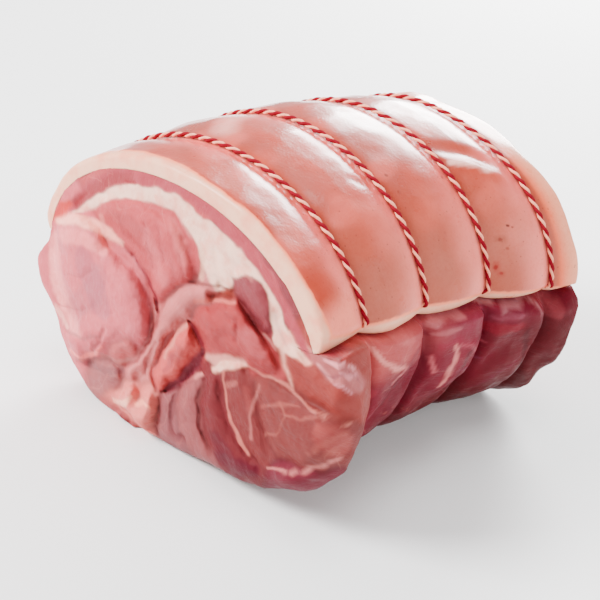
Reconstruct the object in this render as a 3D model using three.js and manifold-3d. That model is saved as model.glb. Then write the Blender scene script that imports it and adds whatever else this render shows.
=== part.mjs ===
// A boned and rolled shoulder of pork, tied with four rings of two-ply butcher's twine.
// Millimetres, +Z up. The roll lies along X. Its bigger cut face looks towards -X, and the
// cap of fat and rind arches over the top from one flank to the other.
import * as THREE from 'three';
import Module from 'manifold-3d';

// The roll, drawn tight under the twine
const LOOP_X = [27, 64, 102.5, 136.5];
const FAR_X = 153;
const CENTRE_Z = 68;
const TIED_BASE_Z = 5;
// Each station along X gives the half widths towards the front and the back, the height of
// the top, the sideways shift, and how square the upper and lower halves are: 2 is an ellipse
const STATIONS = [
  { x: 0, front: 76.5, back: 79, top: 124, shift: 0, upper: 2, lower: 3 },
  { x: 27, front: 76.5, back: 74, top: 126.6, shift: 3.5, upper: 2, lower: 2.45 },
  { x: 64, front: 74, back: 68.5, top: 129.7, shift: 2.5, upper: 2, lower: 2.3 },
  { x: 102.5, front: 72, back: 64.5, top: 128.3, shift: -1.5, upper: 2, lower: 2.4 },
  { x: 136.5, front: 75.7, back: 60, top: 124.8, shift: -6.5, upper: 2.02, lower: 2.65 },
  { x: 153, front: 77.5, back: 61, top: 121.8, shift: -7.25, upper: 2.03, lower: 3.6 },
];
const FLOOR_SOFTNESS = 2;

// How far the meat and the rind swell between the rings of twine
const RIND_SWELL = 2.4;
const RIND_SWELL_ON_FLANK = 1;
const FLANK_SWELL = 7;
const UNDERSIDE_SWELL = 3.5;
// The part of the roll between two rings swells by its own share
const SEGMENT_SWELL = [1, 0.72, 1, 1.05, 0.85];
// Near the bigger face the base rises under the front and bulges out at the back
const NEAR_BASE_LIFT = { height: 15, from: 258, full: 284, until: 312, gone: 330 };
const NEAR_BASE_BULGE = { height: 8, angle: 246, width: 14 };
const RIND_SOFTNESS = 8;
const LEAN_SOFTNESS = 5;
const GROOVE_HALF_WIDTH = 1.6;
// Rows of points run round the roll at these distances from each ring of twine
const ROW_OFFSETS = [1.6, 3.6, 7.5];
const FRONT_FLARE = 12;
const BACK_FLARE = 6;
const END_FLARE_REACH = 15;
const END_FLARE_BLEND = 25;
// A seam between two muscles wanders along each flank
const FLANK_SEAM = { depth: 2.6, width: 7, angle: -22, wander: 10, wavelength: 11, fade: 6 };

// The cap of fat and rind. Its lower edges are in degrees round the section, falling along X:
// 0 is the front flank, 90 the top, 180 the back and 270 the underside
const FRONT_RIND_EDGE = { atFirstLoop: 19, slope: -0.13, nearRise: 3 };
const FRONT_FAT_EDGE = { atNearEnd: 14.8, slope: -0.107, pinch: 1.2, pinchReach: 5 };
const FRONT_FAT_NEAR_RISE = { height: 3.8, start: 45, full: 12 };
const BACK_RIND_EDGE = { atNearEnd: 173, slope: 0.03 };
const BACK_FAT_BAND = 6;
const CAP_THICKNESS = 6.8;
const CAP_EXTRA_ON_FLANK = 1.4;
const CAP_GAP = 0.3;
const LIP_THICKNESS = 0.55;
const LIP_MIDDLE_THICKNESS = 0.84;
const LEAN_RECESS = 4;
const LEAN_RECESS_REACH = 9;
const RIND_CORNER = 1.0;
const END_WAVE = { size: 1.2, lobes: 11, first: 10 };

// The cut faces
const FACE_CENTRE = { y: -2, z: 64 };
const NEAR_ROUNDING = 12;
const FAR_ROUNDING = 5;
const CAP_SIDE_ROUNDING = 0.8;
const ROUNDING_BLEND = 30;
const MUSCLE_SWELL_WIDTH = 5;
const SEAM_WIDTH = 3;
const FAR_RELIEF = 0.6;
const RELIEF_DISC = [2.5, 5];
const RELIEF_SAMPLES = 7;
const BLEND_WIDTH = 2.5;

// The twine
const TWINE_RADIUS = 1.05;
const TWINE_GAP = 0.35;
const TWINE_SIDES = 8;
const KNOT_ANGLE = 150;
const KNOT_SIZE = { along: 3.0, across: 3.4, high: 2.3, lift: 1.25 };
const TAIL = { lengths: [13, 10], sides: 6, steps: 4, from: 3, bend: 7, lift: 1.7, clear: 0.65 };

// How finely the surfaces are divided
const CAP_STEPS = 22;
const LEAN_STEPS = 23;
const FACE_RINGS = 16;
const FAR_FACE_RINGS = 9;
const POINTS_PER_RING = 6;

const degrees = Math.PI / 180;

// The muscles that the cut face shows: a chain of round sections, [y, z, radius], with the
// rise of each above the face and the depth of the seam round it
const MUSCLES = [
  { name: 'round', rise: 9, seam: 5, chain: [[30, 67, 18], [47, 62, 25], [56, 49, 19], [53, 29, 9]] },
  { name: 'round lobe', rise: 6, seam: 2, chain: [[31, 38, 7], [23, 42, 9]] },
  { name: 'silver end', rise: 2, seam: 2, chain: [[45, 20, 5], [30, 25, 6]] },
  { name: 'upper', rise: 5, seam: 3, chain: [[40, 96, 5], [22, 95, 12.5], [3, 96, 13], [8, 77, 5]] },
  { name: 'pale band', rise: 4, seam: 2, chain: [[-20, 91, 3], [-5, 80, 6.5], [4, 62, 5.5], [10, 42, 5.5], [22, 24, 7]] },
  { name: 'tongue', rise: 7, seam: 3, chain: [[-11, 62, 6.5], [-3, 50, 6.5], [3, 36, 4.5]] },
  { name: 'kidney', rise: 6, seam: 3, chain: [[-20, 72, 9], [-33, 77, 11.5], [-50, 75, 7.5]] },
  { name: 'oval', rise: 4, seam: 2, chain: [[-37, 98.5, 7], [-45, 92, 5.5]] },
  { name: 'flank wedge', rise: 3.5, seam: 2, chain: [[-64, 79, 4.5], [-78, 74, 7], [-92, 73, 5]] },
  { name: 'crescent', rise: 3.5, seam: 2, chain: [[-27, 46, 5], [-28, 32, 8], [-38, 22, 7], [-50, 22, 4]] },
  { name: 'narrow strip', rise: 3, seam: 1.5, chain: [[-38, 60, 5], [-40, 48, 7], [-44, 38, 5]] },
  { name: 'broad muscle', rise: 4, seam: 2, chain: [[-57, 52, 9], [-70, 46, 15], [-84, 54, 10]] },
  { name: 'under muscle', rise: 2, seam: 2, chain: [[-64, 26, 4], [-78, 32, 5], [-90, 44, 4]] },
  { name: 'pale fold', rise: 3.5, seam: 2, chain: [[-15, 40, 5], [-12, 28, 7], [-16, 18, 6]] },
  { name: 'clear strip', rise: 2, seam: 2, chain: [[-6, 40, 3], [0, 28, 4.5], [2, 12, 5]] },
  { name: 'base lobe', rise: 9, seam: 2, chain: [[27, 10, 8], [12, 7, 8]] },
];
// The dark hollow under the tongue
const HOLLOW = { depth: 3.5, width: 8, from: [-17, 54], to: [-4, 36] };

function smoothstep(low, high, value) {
  const t = Math.min(1, Math.max(0, (value - low) / (high - low)));
  return t * t * (3 - 2 * t);
}

function mix(a, b, t) {
  return a + (b - a) * t;
}

// A smooth curve through the stations
function alongRoll(x, key) {
  const last = STATIONS.length - 1;
  let i = 0;
  while (i < last - 1 && x > STATIONS[i + 1].x) {
    i += 1;
  }
  const slope = (k) => {
    const before = STATIONS[Math.max(0, k - 1)];
    const after = STATIONS[Math.min(last, k + 1)];
    return (after[key] - before[key]) / (after.x - before.x);
  };
  const a = STATIONS[i];
  const b = STATIONS[i + 1];
  const width = b.x - a.x;
  const t = (x - a.x) / width;
  const h = t * t * (3 - 2 * t);
  const rise = t * (1 - t) * (1 - t) * width;
  const fall = t * t * (1 - t) * width;
  return mix(a[key], b[key], h) + rise * slope(i) - fall * slope(i + 1);
}

function rindEdge(x) {
  const edge = FRONT_RIND_EDGE;
  const nearEnd = Math.max(0, 1 - x / LOOP_X[0]);
  return edge.atFirstLoop + edge.slope * (x - LOOP_X[0]) + edge.nearRise * nearEnd * nearEnd;
}

function fatEdge(x) {
  const edge = FRONT_FAT_EDGE;
  const near = FRONT_FAT_NEAR_RISE;
  const pinch = edge.pinch * Math.exp(-loopDistance(x) / edge.pinchReach);
  return edge.atNearEnd + edge.slope * x + pinch + near.height * smoothstep(near.start, near.full, x);
}

function backRindEdge(x) {
  return BACK_RIND_EDGE.atNearEnd + BACK_RIND_EDGE.slope * x;
}

function backFatEdge(x) {
  return backRindEdge(x) + BACK_FAT_BAND;
}

function loopDistance(x) {
  return Math.min(...LOOP_X.map((loop) => Math.abs(x - loop)));
}

// How many degrees an angle of the lean lies below the nearer lower edge of the cap
function belowCap(x, angle) {
  return Math.min(angle - backFatEdge(x), fatEdge(x) + 360 - angle);
}

function power(value, exponent) {
  return Math.sign(value) * Math.abs(value) ** exponent;
}

// The lean swells more than the rind, and most at the near end, which no ring holds in
function swell(x, angle, covered) {
  const gap = Math.max(0, loopDistance(x) - GROOVE_HALF_WIDTH);
  if (covered) {
    const side = Math.cos(angle * degrees);
    return (RIND_SWELL + RIND_SWELL_ON_FLANK * side * side) * (1 - Math.exp(-gap / RIND_SOFTNESS));
  }
  const down = Math.max(0, -Math.sin(angle * degrees));
  const segment = LOOP_X.filter((loop) => loop < x).length;
  const full = (FLANK_SWELL + UNDERSIDE_SWELL * down * down) * SEGMENT_SWELL[segment];
  const clear = smoothstep(0, END_FLARE_BLEND, belowCap(x, angle));
  const sideFlare = mix(BACK_FLARE, FRONT_FLARE, smoothstep(250, 300, angle)) * clear * (1 - down ** 6);
  const lift = NEAR_BASE_LIFT;
  const raised = smoothstep(lift.from, lift.full, angle) - smoothstep(lift.until, lift.gone, angle);
  const fromBulge = (angle - NEAR_BASE_BULGE.angle) / NEAR_BASE_BULGE.width;
  const bulge = NEAR_BASE_BULGE.height * Math.exp(-fromBulge * fromBulge);
  const flare = (sideFlare + bulge - lift.height * raised) * Math.exp(-x / END_FLARE_REACH);
  const turned = angle > 270 ? angle - 360 : 180 - angle;
  const wander = FLANK_SEAM.wander * Math.sin(x / FLANK_SEAM.wavelength);
  const across = (turned - FLANK_SEAM.angle + wander) / FLANK_SEAM.width;
  const seam = FLANK_SEAM.depth * Math.exp(-across * across) * Math.min(1, gap / FLANK_SEAM.fade);
  const pillow = full * (1 - Math.exp(-gap / LEAN_SOFTNESS));
  return pillow + flare - seam;
}

// A point of the surface, moved outwards by an offset
function surface(x, angle, covered, offset) {
  const c = Math.cos(angle * degrees);
  const s = Math.sin(angle * degrees);
  const halfWidth = alongRoll(x, c > 0 ? 'front' : 'back');
  const halfHeight = s > 0 ? alongRoll(x, 'top') - CENTRE_Z : CENTRE_Z - TIED_BASE_Z;
  const n = alongRoll(x, s > 0 ? 'upper' : 'lower');
  let ny = -power(c, 2 - 2 / n) / halfWidth;
  let nz = power(s, 2 - 2 / n) / halfHeight;
  const length = Math.hypot(ny, nz);
  ny /= length;
  nz /= length;
  const out = swell(x, angle, covered) + offset;
  const y = alongRoll(x, 'shift') - halfWidth * power(c, 2 / n) + ny * out;
  const z = CENTRE_Z + halfHeight * power(s, 2 / n) + nz * out;
  return { y, z: restOnFloor(z), ny, nz };
}

// The underside settles into a flat where it would dip below the floor
function restOnFloor(z) {
  if (z > FLOOR_SOFTNESS) {
    return z;
  }
  const lift = Math.max(0, z + FLOOR_SOFTNESS);
  return (lift * lift) / (4 * FLOOR_SOFTNESS);
}

function capThickness(angle) {
  return CAP_THICKNESS + CAP_EXTRA_ON_FLANK * Math.cos(angle * degrees);
}

// The meat's surface: tucked under the cap, and a little recessed along the cap's lower edge
function meatPoint(k, x, inset) {
  const angle = columnAngles(x)[k];
  if (k < CAP_COLUMNS) {
    return surface(x, angle, true, -capThickness(angle) - CAP_GAP - inset);
  }
  return surface(x, angle, false, -LEAN_RECESS * Math.exp(-belowCap(x, angle) / LEAN_RECESS_REACH) - inset);
}

// The columns run round the section, with one on each edge of the cap
function columnAngles(x) {
  const front = [fatEdge(x), rindEdge(x)];
  const back = [backRindEdge(x), backFatEdge(x)];
  const angles = [front[0], (front[0] + front[1]) / 2];
  for (let k = 0; k <= CAP_STEPS; k += 1) {
    angles.push(mix(front[1], back[0], k / CAP_STEPS));
  }
  angles.push((back[0] + back[1]) / 2, back[1]);
  for (let k = 1; k < LEAN_STEPS; k += 1) {
    angles.push(mix(back[1], front[0] + 360, k / LEAN_STEPS));
  }
  return angles;
}
const CAP_COLUMNS = CAP_STEPS + 5;
const COLUMNS = CAP_COLUMNS + LEAN_STEPS - 1;

// The rows along X bunch up beside each ring of twine
function rowPositions() {
  const rows = [];
  LOOP_X.forEach((loop, k) => {
    if (k > 0) {
      rows.push((LOOP_X[k - 1] + loop) / 2);
    }
    rows.push(...ROW_OFFSETS.map((offset) => loop - offset).reverse());
    rows.push(...ROW_OFFSETS.map((offset) => loop + offset));
  });
  return rows;
}

// Signed distance to a tapering chain, negative inside it
function chainDistance(chain, y, z) {
  let best = Infinity;
  for (let k = 0; k + 1 < chain.length; k += 1) {
    const [ay, az, ar] = chain[k];
    const [by, bz, br] = chain[k + 1];
    const dy = by - ay;
    const dz = bz - az;
    const along = ((y - ay) * dy + (z - az) * dz) / (dy * dy + dz * dz);
    const t = Math.min(1, Math.max(0, along));
    best = Math.min(best, Math.hypot(y - ay - t * dy, z - az - t * dz) - mix(ar, br, t));
  }
  return best;
}

// The relief at a place is a mean over a small disc, so that it has no folds finer than the mesh
function faceRelief(y, z) {
  let total = sharpRelief(y, z);
  let count = 1;
  for (const radius of RELIEF_DISC) {
    for (let k = 0; k < RELIEF_SAMPLES; k += 1) {
      const turn = (k / RELIEF_SAMPLES) * 360 * degrees + radius;
      total += sharpRelief(y + radius * Math.cos(turn), z + radius * Math.sin(turn));
      count += 1;
    }
  }
  return total / count;
}

// How far the cut face stands out: each muscle is a dome with a seam round it
function sharpRelief(y, z) {
  const distances = MUSCLES.map((muscle) => chainDistance(muscle.chain, y, z));
  const nearest = Math.min(...distances);
  let total = 0;
  let height = 0;
  let seam = 0;
  MUSCLES.forEach((muscle, k) => {
    const share = Math.exp(-(distances[k] - nearest) / BLEND_WIDTH);
    const depth = Math.max(0, -distances[k]);
    total += share;
    height += share * muscle.rise * (1 - Math.exp(-depth / MUSCLE_SWELL_WIDTH));
    seam += share * muscle.seam;
  });
  const second = [...distances].sort((a, b) => a - b)[1];
  const edge = (second - nearest) / 2 / SEAM_WIDTH;
  const groove = nearest < 1 ? (seam / total) * Math.exp(-edge * edge) : 0;
  return height / total - groove;
}

function hollowDepth(y, z) {
  const across = chainDistance([[...HOLLOW.from, 0], [...HOLLOW.to, 0]], y, z) / HOLLOW.width;
  return HOLLOW.depth * Math.exp(-across * across);
}

// A mesh in progress: points and triangles
class Skin {
  constructor() {
    this.positions = [];
    this.triangles = [];
  }

  add(x, y, z) {
    this.positions.push(x, y, z);
    return this.positions.length / 3 - 1;
  }

  // The quad a, b, c, d is split from a to c, or from b to d where crossed is set
  quad(a, b, c, d, crossed) {
    if (crossed) {
      this.triangles.push(b, c, d, b, d, a);
    } else {
      this.triangles.push(a, b, c, a, c, d);
    }
  }

  geometry() {
    const geometry = new THREE.BufferGeometry();
    geometry.setAttribute('position', new THREE.Float32BufferAttribute(this.positions, 3));
    geometry.setIndex(this.triangles);
    geometry.computeVertexNormals();
    return geometry;
  }
}

// How round the edge between a cut face and the side is: crisp under the cap
function edgeRounding(k, x, full) {
  if (k < CAP_COLUMNS) {
    return CAP_SIDE_ROUNDING;
  }
  return mix(CAP_SIDE_ROUNDING, full, smoothstep(0, ROUNDING_BLEND, belowCap(x, columnAngles(x)[k])));
}

// The far edge of the roll is a little wavy, so its last rows are shifted along X
function waveAt(row, angle) {
  const wave = Math.cos((angle - END_WAVE.first) * degrees * END_WAVE.lobes);
  return END_WAVE.size * wave * smoothstep(LOOP_X[LOOP_X.length - 1], FAR_X, row);
}

// The rows of one side column, between the two rounded edges
function sideRows(near, far) {
  const rows = rowPositions();
  const first = rows[0];
  const last = rows[rows.length - 1];
  return [near, mix(near, first, 0.5), ...rows, mix(last, FAR_X - far, 0.5), FAR_X - far];
}

// One column of the meat's side, from the rim of the near face to the rim of the far face
function meatColumn(k) {
  const near = edgeRounding(k, 0, NEAR_ROUNDING);
  const far = edgeRounding(k, FAR_X, FAR_ROUNDING);
  const rim = meatPoint(k, near, near);
  const points = [[-faceRelief(rim.y, rim.z), rim.y, rim.z]];
  for (const turn of [30, 60]) {
    const edge = meatPoint(k, near, near * (1 - Math.sin(turn * degrees)));
    const relief = faceRelief(edge.y, edge.z) * Math.cos(turn * degrees);
    points.push([near * (1 - Math.cos(turn * degrees)) - relief, edge.y, edge.z]);
  }
  for (const row of sideRows(near, far)) {
    const point = meatPoint(k, row, 0);
    points.push([row + waveAt(row, columnAngles(row)[k]), point.y, point.z]);
  }
  const row = FAR_X - far * (1 - Math.cos(45 * degrees));
  const edge = meatPoint(k, row, far * (1 - Math.sin(45 * degrees)));
  points.push([row + waveAt(row, columnAngles(row)[k]), edge.y, edge.z]);
  const farRim = meatPoint(k, FAR_X, far);
  points.push([FAR_X + waveAt(FAR_X, columnAngles(FAR_X)[k]), farRim.y, farRim.z]);
  return points;
}

// A cut face is filled with rings of points round its middle. Each ring has a few more points
// than the one inside it, so the triangles are about the same size all over
function fillFace(skin, rim, ringCount, depthAt, near) {
  const corners = rim.map((index) => skin.positions.slice(3 * index, 3 * index + 3));
  const pointAt = (turn, reach) => {
    const place = turn * corners.length;
    const k = Math.floor(place);
    const a = corners[k];
    const b = corners[(k + 1) % corners.length];
    const y = mix(FACE_CENTRE.y, mix(a[1], b[1], place - k), reach);
    const z = mix(FACE_CENTRE.z, mix(a[2], b[2], place - k), reach);
    const x = mix(a[0], b[0], place - k);
    return skin.add(depthAt(x, y, z, reach), y, z);
  };
  let outer = rim;
  for (let ring = ringCount - 1; ring >= 0; ring -= 1) {
    const count = Math.max(1, ring * POINTS_PER_RING);
    const inner = Array.from({ length: count }, (_, k) => pointAt(k / count, ring / ringCount));
    joinRings(skin, outer, inner, near);
    outer = inner;
  }
}

// Triangles between two rings that differ in their number of points
function joinRings(skin, outer, inner, near) {
  let i = 0;
  let j = 0;
  const innerSteps = inner.length > 1 ? inner.length : 0;
  while (i < outer.length || j < innerSteps) {
    const a = outer[i % outer.length];
    const b = inner[j % inner.length];
    const stepOut = j >= innerSteps || (i < outer.length && (i + 1) / outer.length <= (j + 1) / innerSteps);
    let c = 0;
    if (stepOut) {
      i += 1;
      c = outer[i % outer.length];
    } else {
      j += 1;
      c = inner[j % inner.length];
    }
    skin.triangles.push(...(near ? [b, a, c] : [a, b, c]));
  }
}

function makeMeat() {
  const skin = new Skin();
  const columns = [];
  for (let k = 0; k < COLUMNS; k += 1) {
    columns.push(meatColumn(k).map((point) => skin.add(...point)));
  }
  const last = columns[0].length - 1;
  for (let k = 0; k < COLUMNS; k += 1) {
    const here = columns[k];
    const next = columns[(k + 1) % COLUMNS];
    for (let row = 0; row < last; row += 1) {
      skin.quad(here[row], here[row + 1], next[row + 1], next[row], false);
    }
  }
  const nearRim = columns.map((column) => column[0]);
  const farRim = columns.map((column) => column[last]);
  fillFace(skin, nearRim, FACE_RINGS, (x, y, z) => hollowDepth(y, z) - faceRelief(y, z), true);
  const farDepth = (x, y, z, reach) => {
    return mix(FAR_X, x, reach * reach) + FAR_RELIEF * faceRelief(y, z) * (1 - reach ** 6);
  };
  fillFace(skin, farRim, FAR_FACE_RINGS, farDepth, false);
  return skin.geometry();
}

// The cap follows the meat's own columns and rows, one small gap further out
function makeCap() {
  const skin = new Skin();
  const outer = [];
  const inner = [];
  const stations = [0, ...sideRows(CAP_SIDE_ROUNDING, CAP_SIDE_ROUNDING), FAR_X];
  stations.forEach((row, index) => {
    const atEnd = index === 0 || index === stations.length - 1;
    const outerRow = [];
    const innerRow = [];
    for (let k = 0; k < CAP_COLUMNS; k += 1) {
      const angle = columnAngles(row)[k];
      const x = row + waveAt(row, angle);
      const fromEdge = Math.min(k, CAP_COLUMNS - 1 - k);
      const share = [LIP_THICKNESS, LIP_MIDDLE_THICKNESS, 1][Math.min(2, fromEdge)];
      const thickness = capThickness(angle);
      const corner = atEnd ? RIND_CORNER : 0;
      const top = surface(row, angle, true, thickness * (share - 1) - corner);
      const below = surface(row, angle, true, -thickness);
      outerRow.push(skin.add(x, top.y, top.z));
      innerRow.push(skin.add(x, below.y, below.z));
    }
    outer.push(outerRow);
    inner.push(innerRow);
  });
  const lastRow = outer.length - 1;
  const lastColumn = CAP_COLUMNS - 1;
  for (let row = 0; row < lastRow; row += 1) {
    for (let k = 0; k < lastColumn; k += 1) {
      skin.quad(outer[row][k], outer[row + 1][k], outer[row + 1][k + 1], outer[row][k + 1], false);
      skin.quad(inner[row][k + 1], inner[row + 1][k + 1], inner[row + 1][k], inner[row][k], true);
    }
    skin.quad(inner[row][0], inner[row + 1][0], outer[row + 1][0], outer[row][0], false);
    const k = lastColumn;
    skin.quad(outer[row][k], outer[row + 1][k], inner[row + 1][k], inner[row][k], false);
  }
  for (let k = 0; k < lastColumn; k += 1) {
    skin.quad(inner[0][k], outer[0][k], outer[0][k + 1], inner[0][k + 1], false);
    const far = lastRow;
    skin.quad(inner[far][k + 1], outer[far][k + 1], outer[far][k], inner[far][k], false);
  }
  return skin.geometry();
}

// The centre line of a ring of twine: it lies on the rind, and in a deep crease in the lean
function ringPoint(loop, angle) {
  const covered = angle >= fatEdge(loop) && angle <= backFatEdge(loop);
  const lift = TWINE_RADIUS + TWINE_GAP;
  const point = surface(loop, angle, covered, lift);
  return { x: loop, ...point };
}

function makeRing(loop) {
  const skin = new Skin();
  const rings = columnAngles(loop).map((angle) => {
    const centre = ringPoint(loop, angle);
    const ring = [];
    for (let side = 0; side < TWINE_SIDES; side += 1) {
      const turn = ((side + 0.5) / TWINE_SIDES) * 360 * degrees;
      const out = TWINE_RADIUS * Math.sin(turn);
      const aside = TWINE_RADIUS * Math.cos(turn);
      ring.push(skin.add(loop + aside, centre.y + centre.ny * out, centre.z + centre.nz * out));
    }
    return ring;
  });
  rings.forEach((ring, k) => {
    const next = rings[(k + 1) % rings.length];
    for (let side = 0; side < TWINE_SIDES; side += 1) {
      const other = (side + 1) % TWINE_SIDES;
      skin.quad(ring[side], next[side], next[other], ring[other], false);
    }
  });
  return skin.geometry();
}

// A cut end of twine that lies over the swollen rind beside its knot
function makeTail(loop, direction, length) {
  const points = [];
  for (let k = 0; k <= TAIL.steps; k += 1) {
    const reach = k / TAIL.steps;
    const x = loop + direction * length * reach;
    const angle = KNOT_ANGLE + TAIL.from + TAIL.bend * reach * reach;
    const lift = TWINE_RADIUS + mix(TAIL.lift + TWINE_GAP, TAIL.clear, reach);
    const point = surface(x, angle, true, lift);
    points.push(new THREE.Vector3(x, point.y, point.z));
  }
  const section = new THREE.Shape();
  for (let side = 0; side < TAIL.sides; side += 1) {
    const turn = (side / TAIL.sides) * 360 * degrees;
    const corner = [TWINE_RADIUS * Math.cos(turn), TWINE_RADIUS * Math.sin(turn)];
    if (side === 0) {
      section.moveTo(...corner);
    } else {
      section.lineTo(...corner);
    }
  }
  section.closePath();
  const path = new THREE.CatmullRomCurve3(points);
  return new THREE.ExtrudeGeometry(section, { steps: TAIL.steps + 1, curveSegments: 1, extrudePath: path });
}

function makeKnot(loop) {
  const point = surface(loop, KNOT_ANGLE, true, KNOT_SIZE.high + KNOT_SIZE.lift);
  const knot = new THREE.SphereGeometry(1, 9, 6);
  knot.scale(KNOT_SIZE.along, KNOT_SIZE.across, KNOT_SIZE.high);
  const up = new THREE.Vector3(0, 0, 1);
  const out = new THREE.Vector3(0, point.ny, point.nz);
  knot.applyQuaternion(new THREE.Quaternion().setFromUnitVectors(up, out));
  knot.translate(loop, point.y, point.z);
  return knot;
}

const wasm = await Module();
wasm.setup();

// Vertices that meet are merged, which a solid needs
function toSolid(geometry) {
  const source = geometry.index ? geometry.toNonIndexed() : geometry;
  const position = source.getAttribute('position');
  const seen = new Map();
  const vertices = [];
  const triangles = [];
  for (let k = 0; k < position.count; k += 1) {
    const place = [position.getX(k), position.getY(k), position.getZ(k)].map((v) => v.toFixed(4));
    const key = place.join(' ');
    if (!seen.has(key)) {
      seen.set(key, seen.size);
      vertices.push(...place.map(Number));
    }
    triangles.push(seen.get(key));
  }
  const kept = [];
  for (let k = 0; k < triangles.length; k += 3) {
    const [a, b, c] = triangles.slice(k, k + 3);
    if (a !== b && b !== c && c !== a) {
      kept.push(a, b, c);
    }
  }
  const vertProperties = new Float32Array(vertices);
  return new wasm.Manifold(new wasm.Mesh({ numProp: 3, vertProperties, triVerts: new Uint32Array(kept) }));
}

function fromSolid(solid) {
  const mesh = solid.getMesh();
  const geometry = new THREE.BufferGeometry();
  geometry.setAttribute('position', new THREE.Float32BufferAttribute(mesh.vertProperties, 3));
  geometry.setIndex(Array.from(mesh.triVerts));
  geometry.computeVertexNormals();
  return geometry;
}

function makeTwine(loop) {
  const [left, right] = TAIL.lengths;
  const pieces = [makeKnot(loop), makeTail(loop, -1, left), makeTail(loop, 1, right)];
  return fromSolid(pieces.reduce((whole, piece) => whole.add(toSolid(piece)), toSolid(makeRing(loop))));
}

const meatMaterial = new THREE.MeshStandardMaterial({ color: 0xc47a78, roughness: 0.45, metalness: 0 });
const capMaterial = new THREE.MeshStandardMaterial({ color: 0xe8b09c, roughness: 0.35, metalness: 0 });

const pork = new THREE.Group();
const meat = new THREE.Mesh(makeMeat(), meatMaterial);
meat.name = 'meat';
pork.add(meat);
const cap = new THREE.Mesh(makeCap(), capMaterial);
cap.name = 'fat_cap';
pork.add(cap);
LOOP_X.forEach((loop, k) => {
  const material = new THREE.MeshStandardMaterial({ color: 0xcf4a50, roughness: 0.9, metalness: 0 });
  const twine = new THREE.Mesh(makeTwine(loop), material);
  twine.name = `twine_${k + 1}`;
  pork.add(twine);
});

// The origin is under the middle of the whole joint, on the floor
const bounds = new THREE.Box3().setFromObject(pork, true);
const middle = bounds.getCenter(new THREE.Vector3());
pork.children.forEach((piece) => piece.geometry.translate(-middle.x, -middle.y, -bounds.min.z));

export default pork;
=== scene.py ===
"""A boned and rolled shoulder of pork, tied with four rings of red and white butcher's twine.

Shapes are worked out in millimetres in the roll's own frame: X runs along the roll from the
bigger cut face, -Y is the front flank and +Z is up. They are stored in metres in the part's frame.
"""
import math

import bpy
import numpy as np
from mathutils import Matrix, Vector, noise


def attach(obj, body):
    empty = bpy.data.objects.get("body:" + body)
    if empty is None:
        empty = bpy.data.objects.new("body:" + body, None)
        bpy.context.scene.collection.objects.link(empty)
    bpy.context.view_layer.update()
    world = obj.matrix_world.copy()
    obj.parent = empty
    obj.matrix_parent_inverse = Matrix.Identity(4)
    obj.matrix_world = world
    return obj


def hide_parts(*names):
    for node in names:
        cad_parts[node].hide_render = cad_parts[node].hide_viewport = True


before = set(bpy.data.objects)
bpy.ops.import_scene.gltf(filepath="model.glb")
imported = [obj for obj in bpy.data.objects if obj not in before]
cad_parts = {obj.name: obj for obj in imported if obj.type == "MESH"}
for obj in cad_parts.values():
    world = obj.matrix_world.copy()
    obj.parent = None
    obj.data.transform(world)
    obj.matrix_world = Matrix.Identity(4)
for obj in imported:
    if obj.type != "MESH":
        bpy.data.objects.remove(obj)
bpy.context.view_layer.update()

# The roll's own frame against the part's frame
ROLL_TO_PART = np.array([-74.587, 1.316, 0.0])
METRES = 0.001
# One degree round the section is about this many millimetres on the rind
MM_PER_DEGREE = 1.25

# The roll, drawn tight under the twine
LOOP_X = np.array([27, 64, 102.5, 136.5])
FAR_X = 153.0
CENTRE_Z = 68.0
TIED_BASE_Z = 5.0
FLOOR_SOFTNESS = 2.0
STATIONS = {
    "x": [0, 27, 64, 102.5, 136.5, 153],
    "front": [76.5, 76.5, 74, 72, 75.7, 77.5],
    "back": [79, 74, 68.5, 64.5, 60, 61],
    "top": [124, 126.6, 129.7, 128.3, 124.8, 121.8],
    "shift": [0, 3.5, 2.5, -1.5, -6.5, -7.25],
    "upper": [2, 2, 2, 2, 2.02, 2.03],
    "lower": [3, 2.45, 2.3, 2.4, 2.65, 3.6],
}
STATIONS = {key: np.array(values, float) for key, values in STATIONS.items()}

# How far the meat and the rind swell between the rings of twine
RIND_SWELL = 2.4
RIND_SWELL_ON_FLANK = 1.0
FLANK_SWELL = 7.0
UNDERSIDE_SWELL = 3.5
SEGMENT_SWELL = np.array([1, 0.72, 1, 1.05, 0.85])
RIND_SOFTNESS = 8.0
LEAN_SOFTNESS = 1.4
GROOVE_HALF_WIDTH = 1.3
BASE_LIFT = dict(height=15, start=258, full=284, until=312, gone=330)
BASE_BULGE = dict(height=8, angle=246, width=14)
FRONT_FLARE, BACK_FLARE, FLARE_REACH, FLARE_BLEND = 12.0, 6.0, 15.0, 25.0
FLANK_SEAM = dict(depth=2.6, width=7, angle=-22, wander=10, wavelength=11, fade=6)

# The cap of fat and rind
CAP_THICKNESS = 6.8
CAP_EXTRA_ON_FLANK = 1.4
CAP_GAP = -0.2
END_WAVE = dict(size=1.2, lobes=11, first=10)

# The cut faces
FACE_CENTRE = (-2.0, 64.0)
NEAR_ROUNDING, FAR_ROUNDING, CAP_SIDE_ROUNDING = 12.0, 5.0, 0.06
ROUNDING_BLEND = 30.0
FAR_RELIEF = 0.6

# The twine
TWINE_RADIUS = 1.05
TWINE_GAP = 0.35
PLY_RADII = (0.78, 0.62)
PLY_OFFSET = 0.46
PLY_PITCH = 7.7
PLY_SIDES = 7
KNOT_ANGLE = 150
# Which way each cut end goes, its length, how that changes from ring to ring, and its bend in degrees
CUT_ENDS = ((-1, 13.0, -1.0, 9.0), (1, 10.0, 0.8, 6.0))

# The places on the near face are given where the camera's line of sight to them crosses a plane
# just in front of the face, so each mark stays in line whatever the relief under it
SIGHT_PLANE_X = -4.0
SIGHT_SLOPE_Y, SIGHT_SLOPE_Z = 0.91, -0.80

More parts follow.
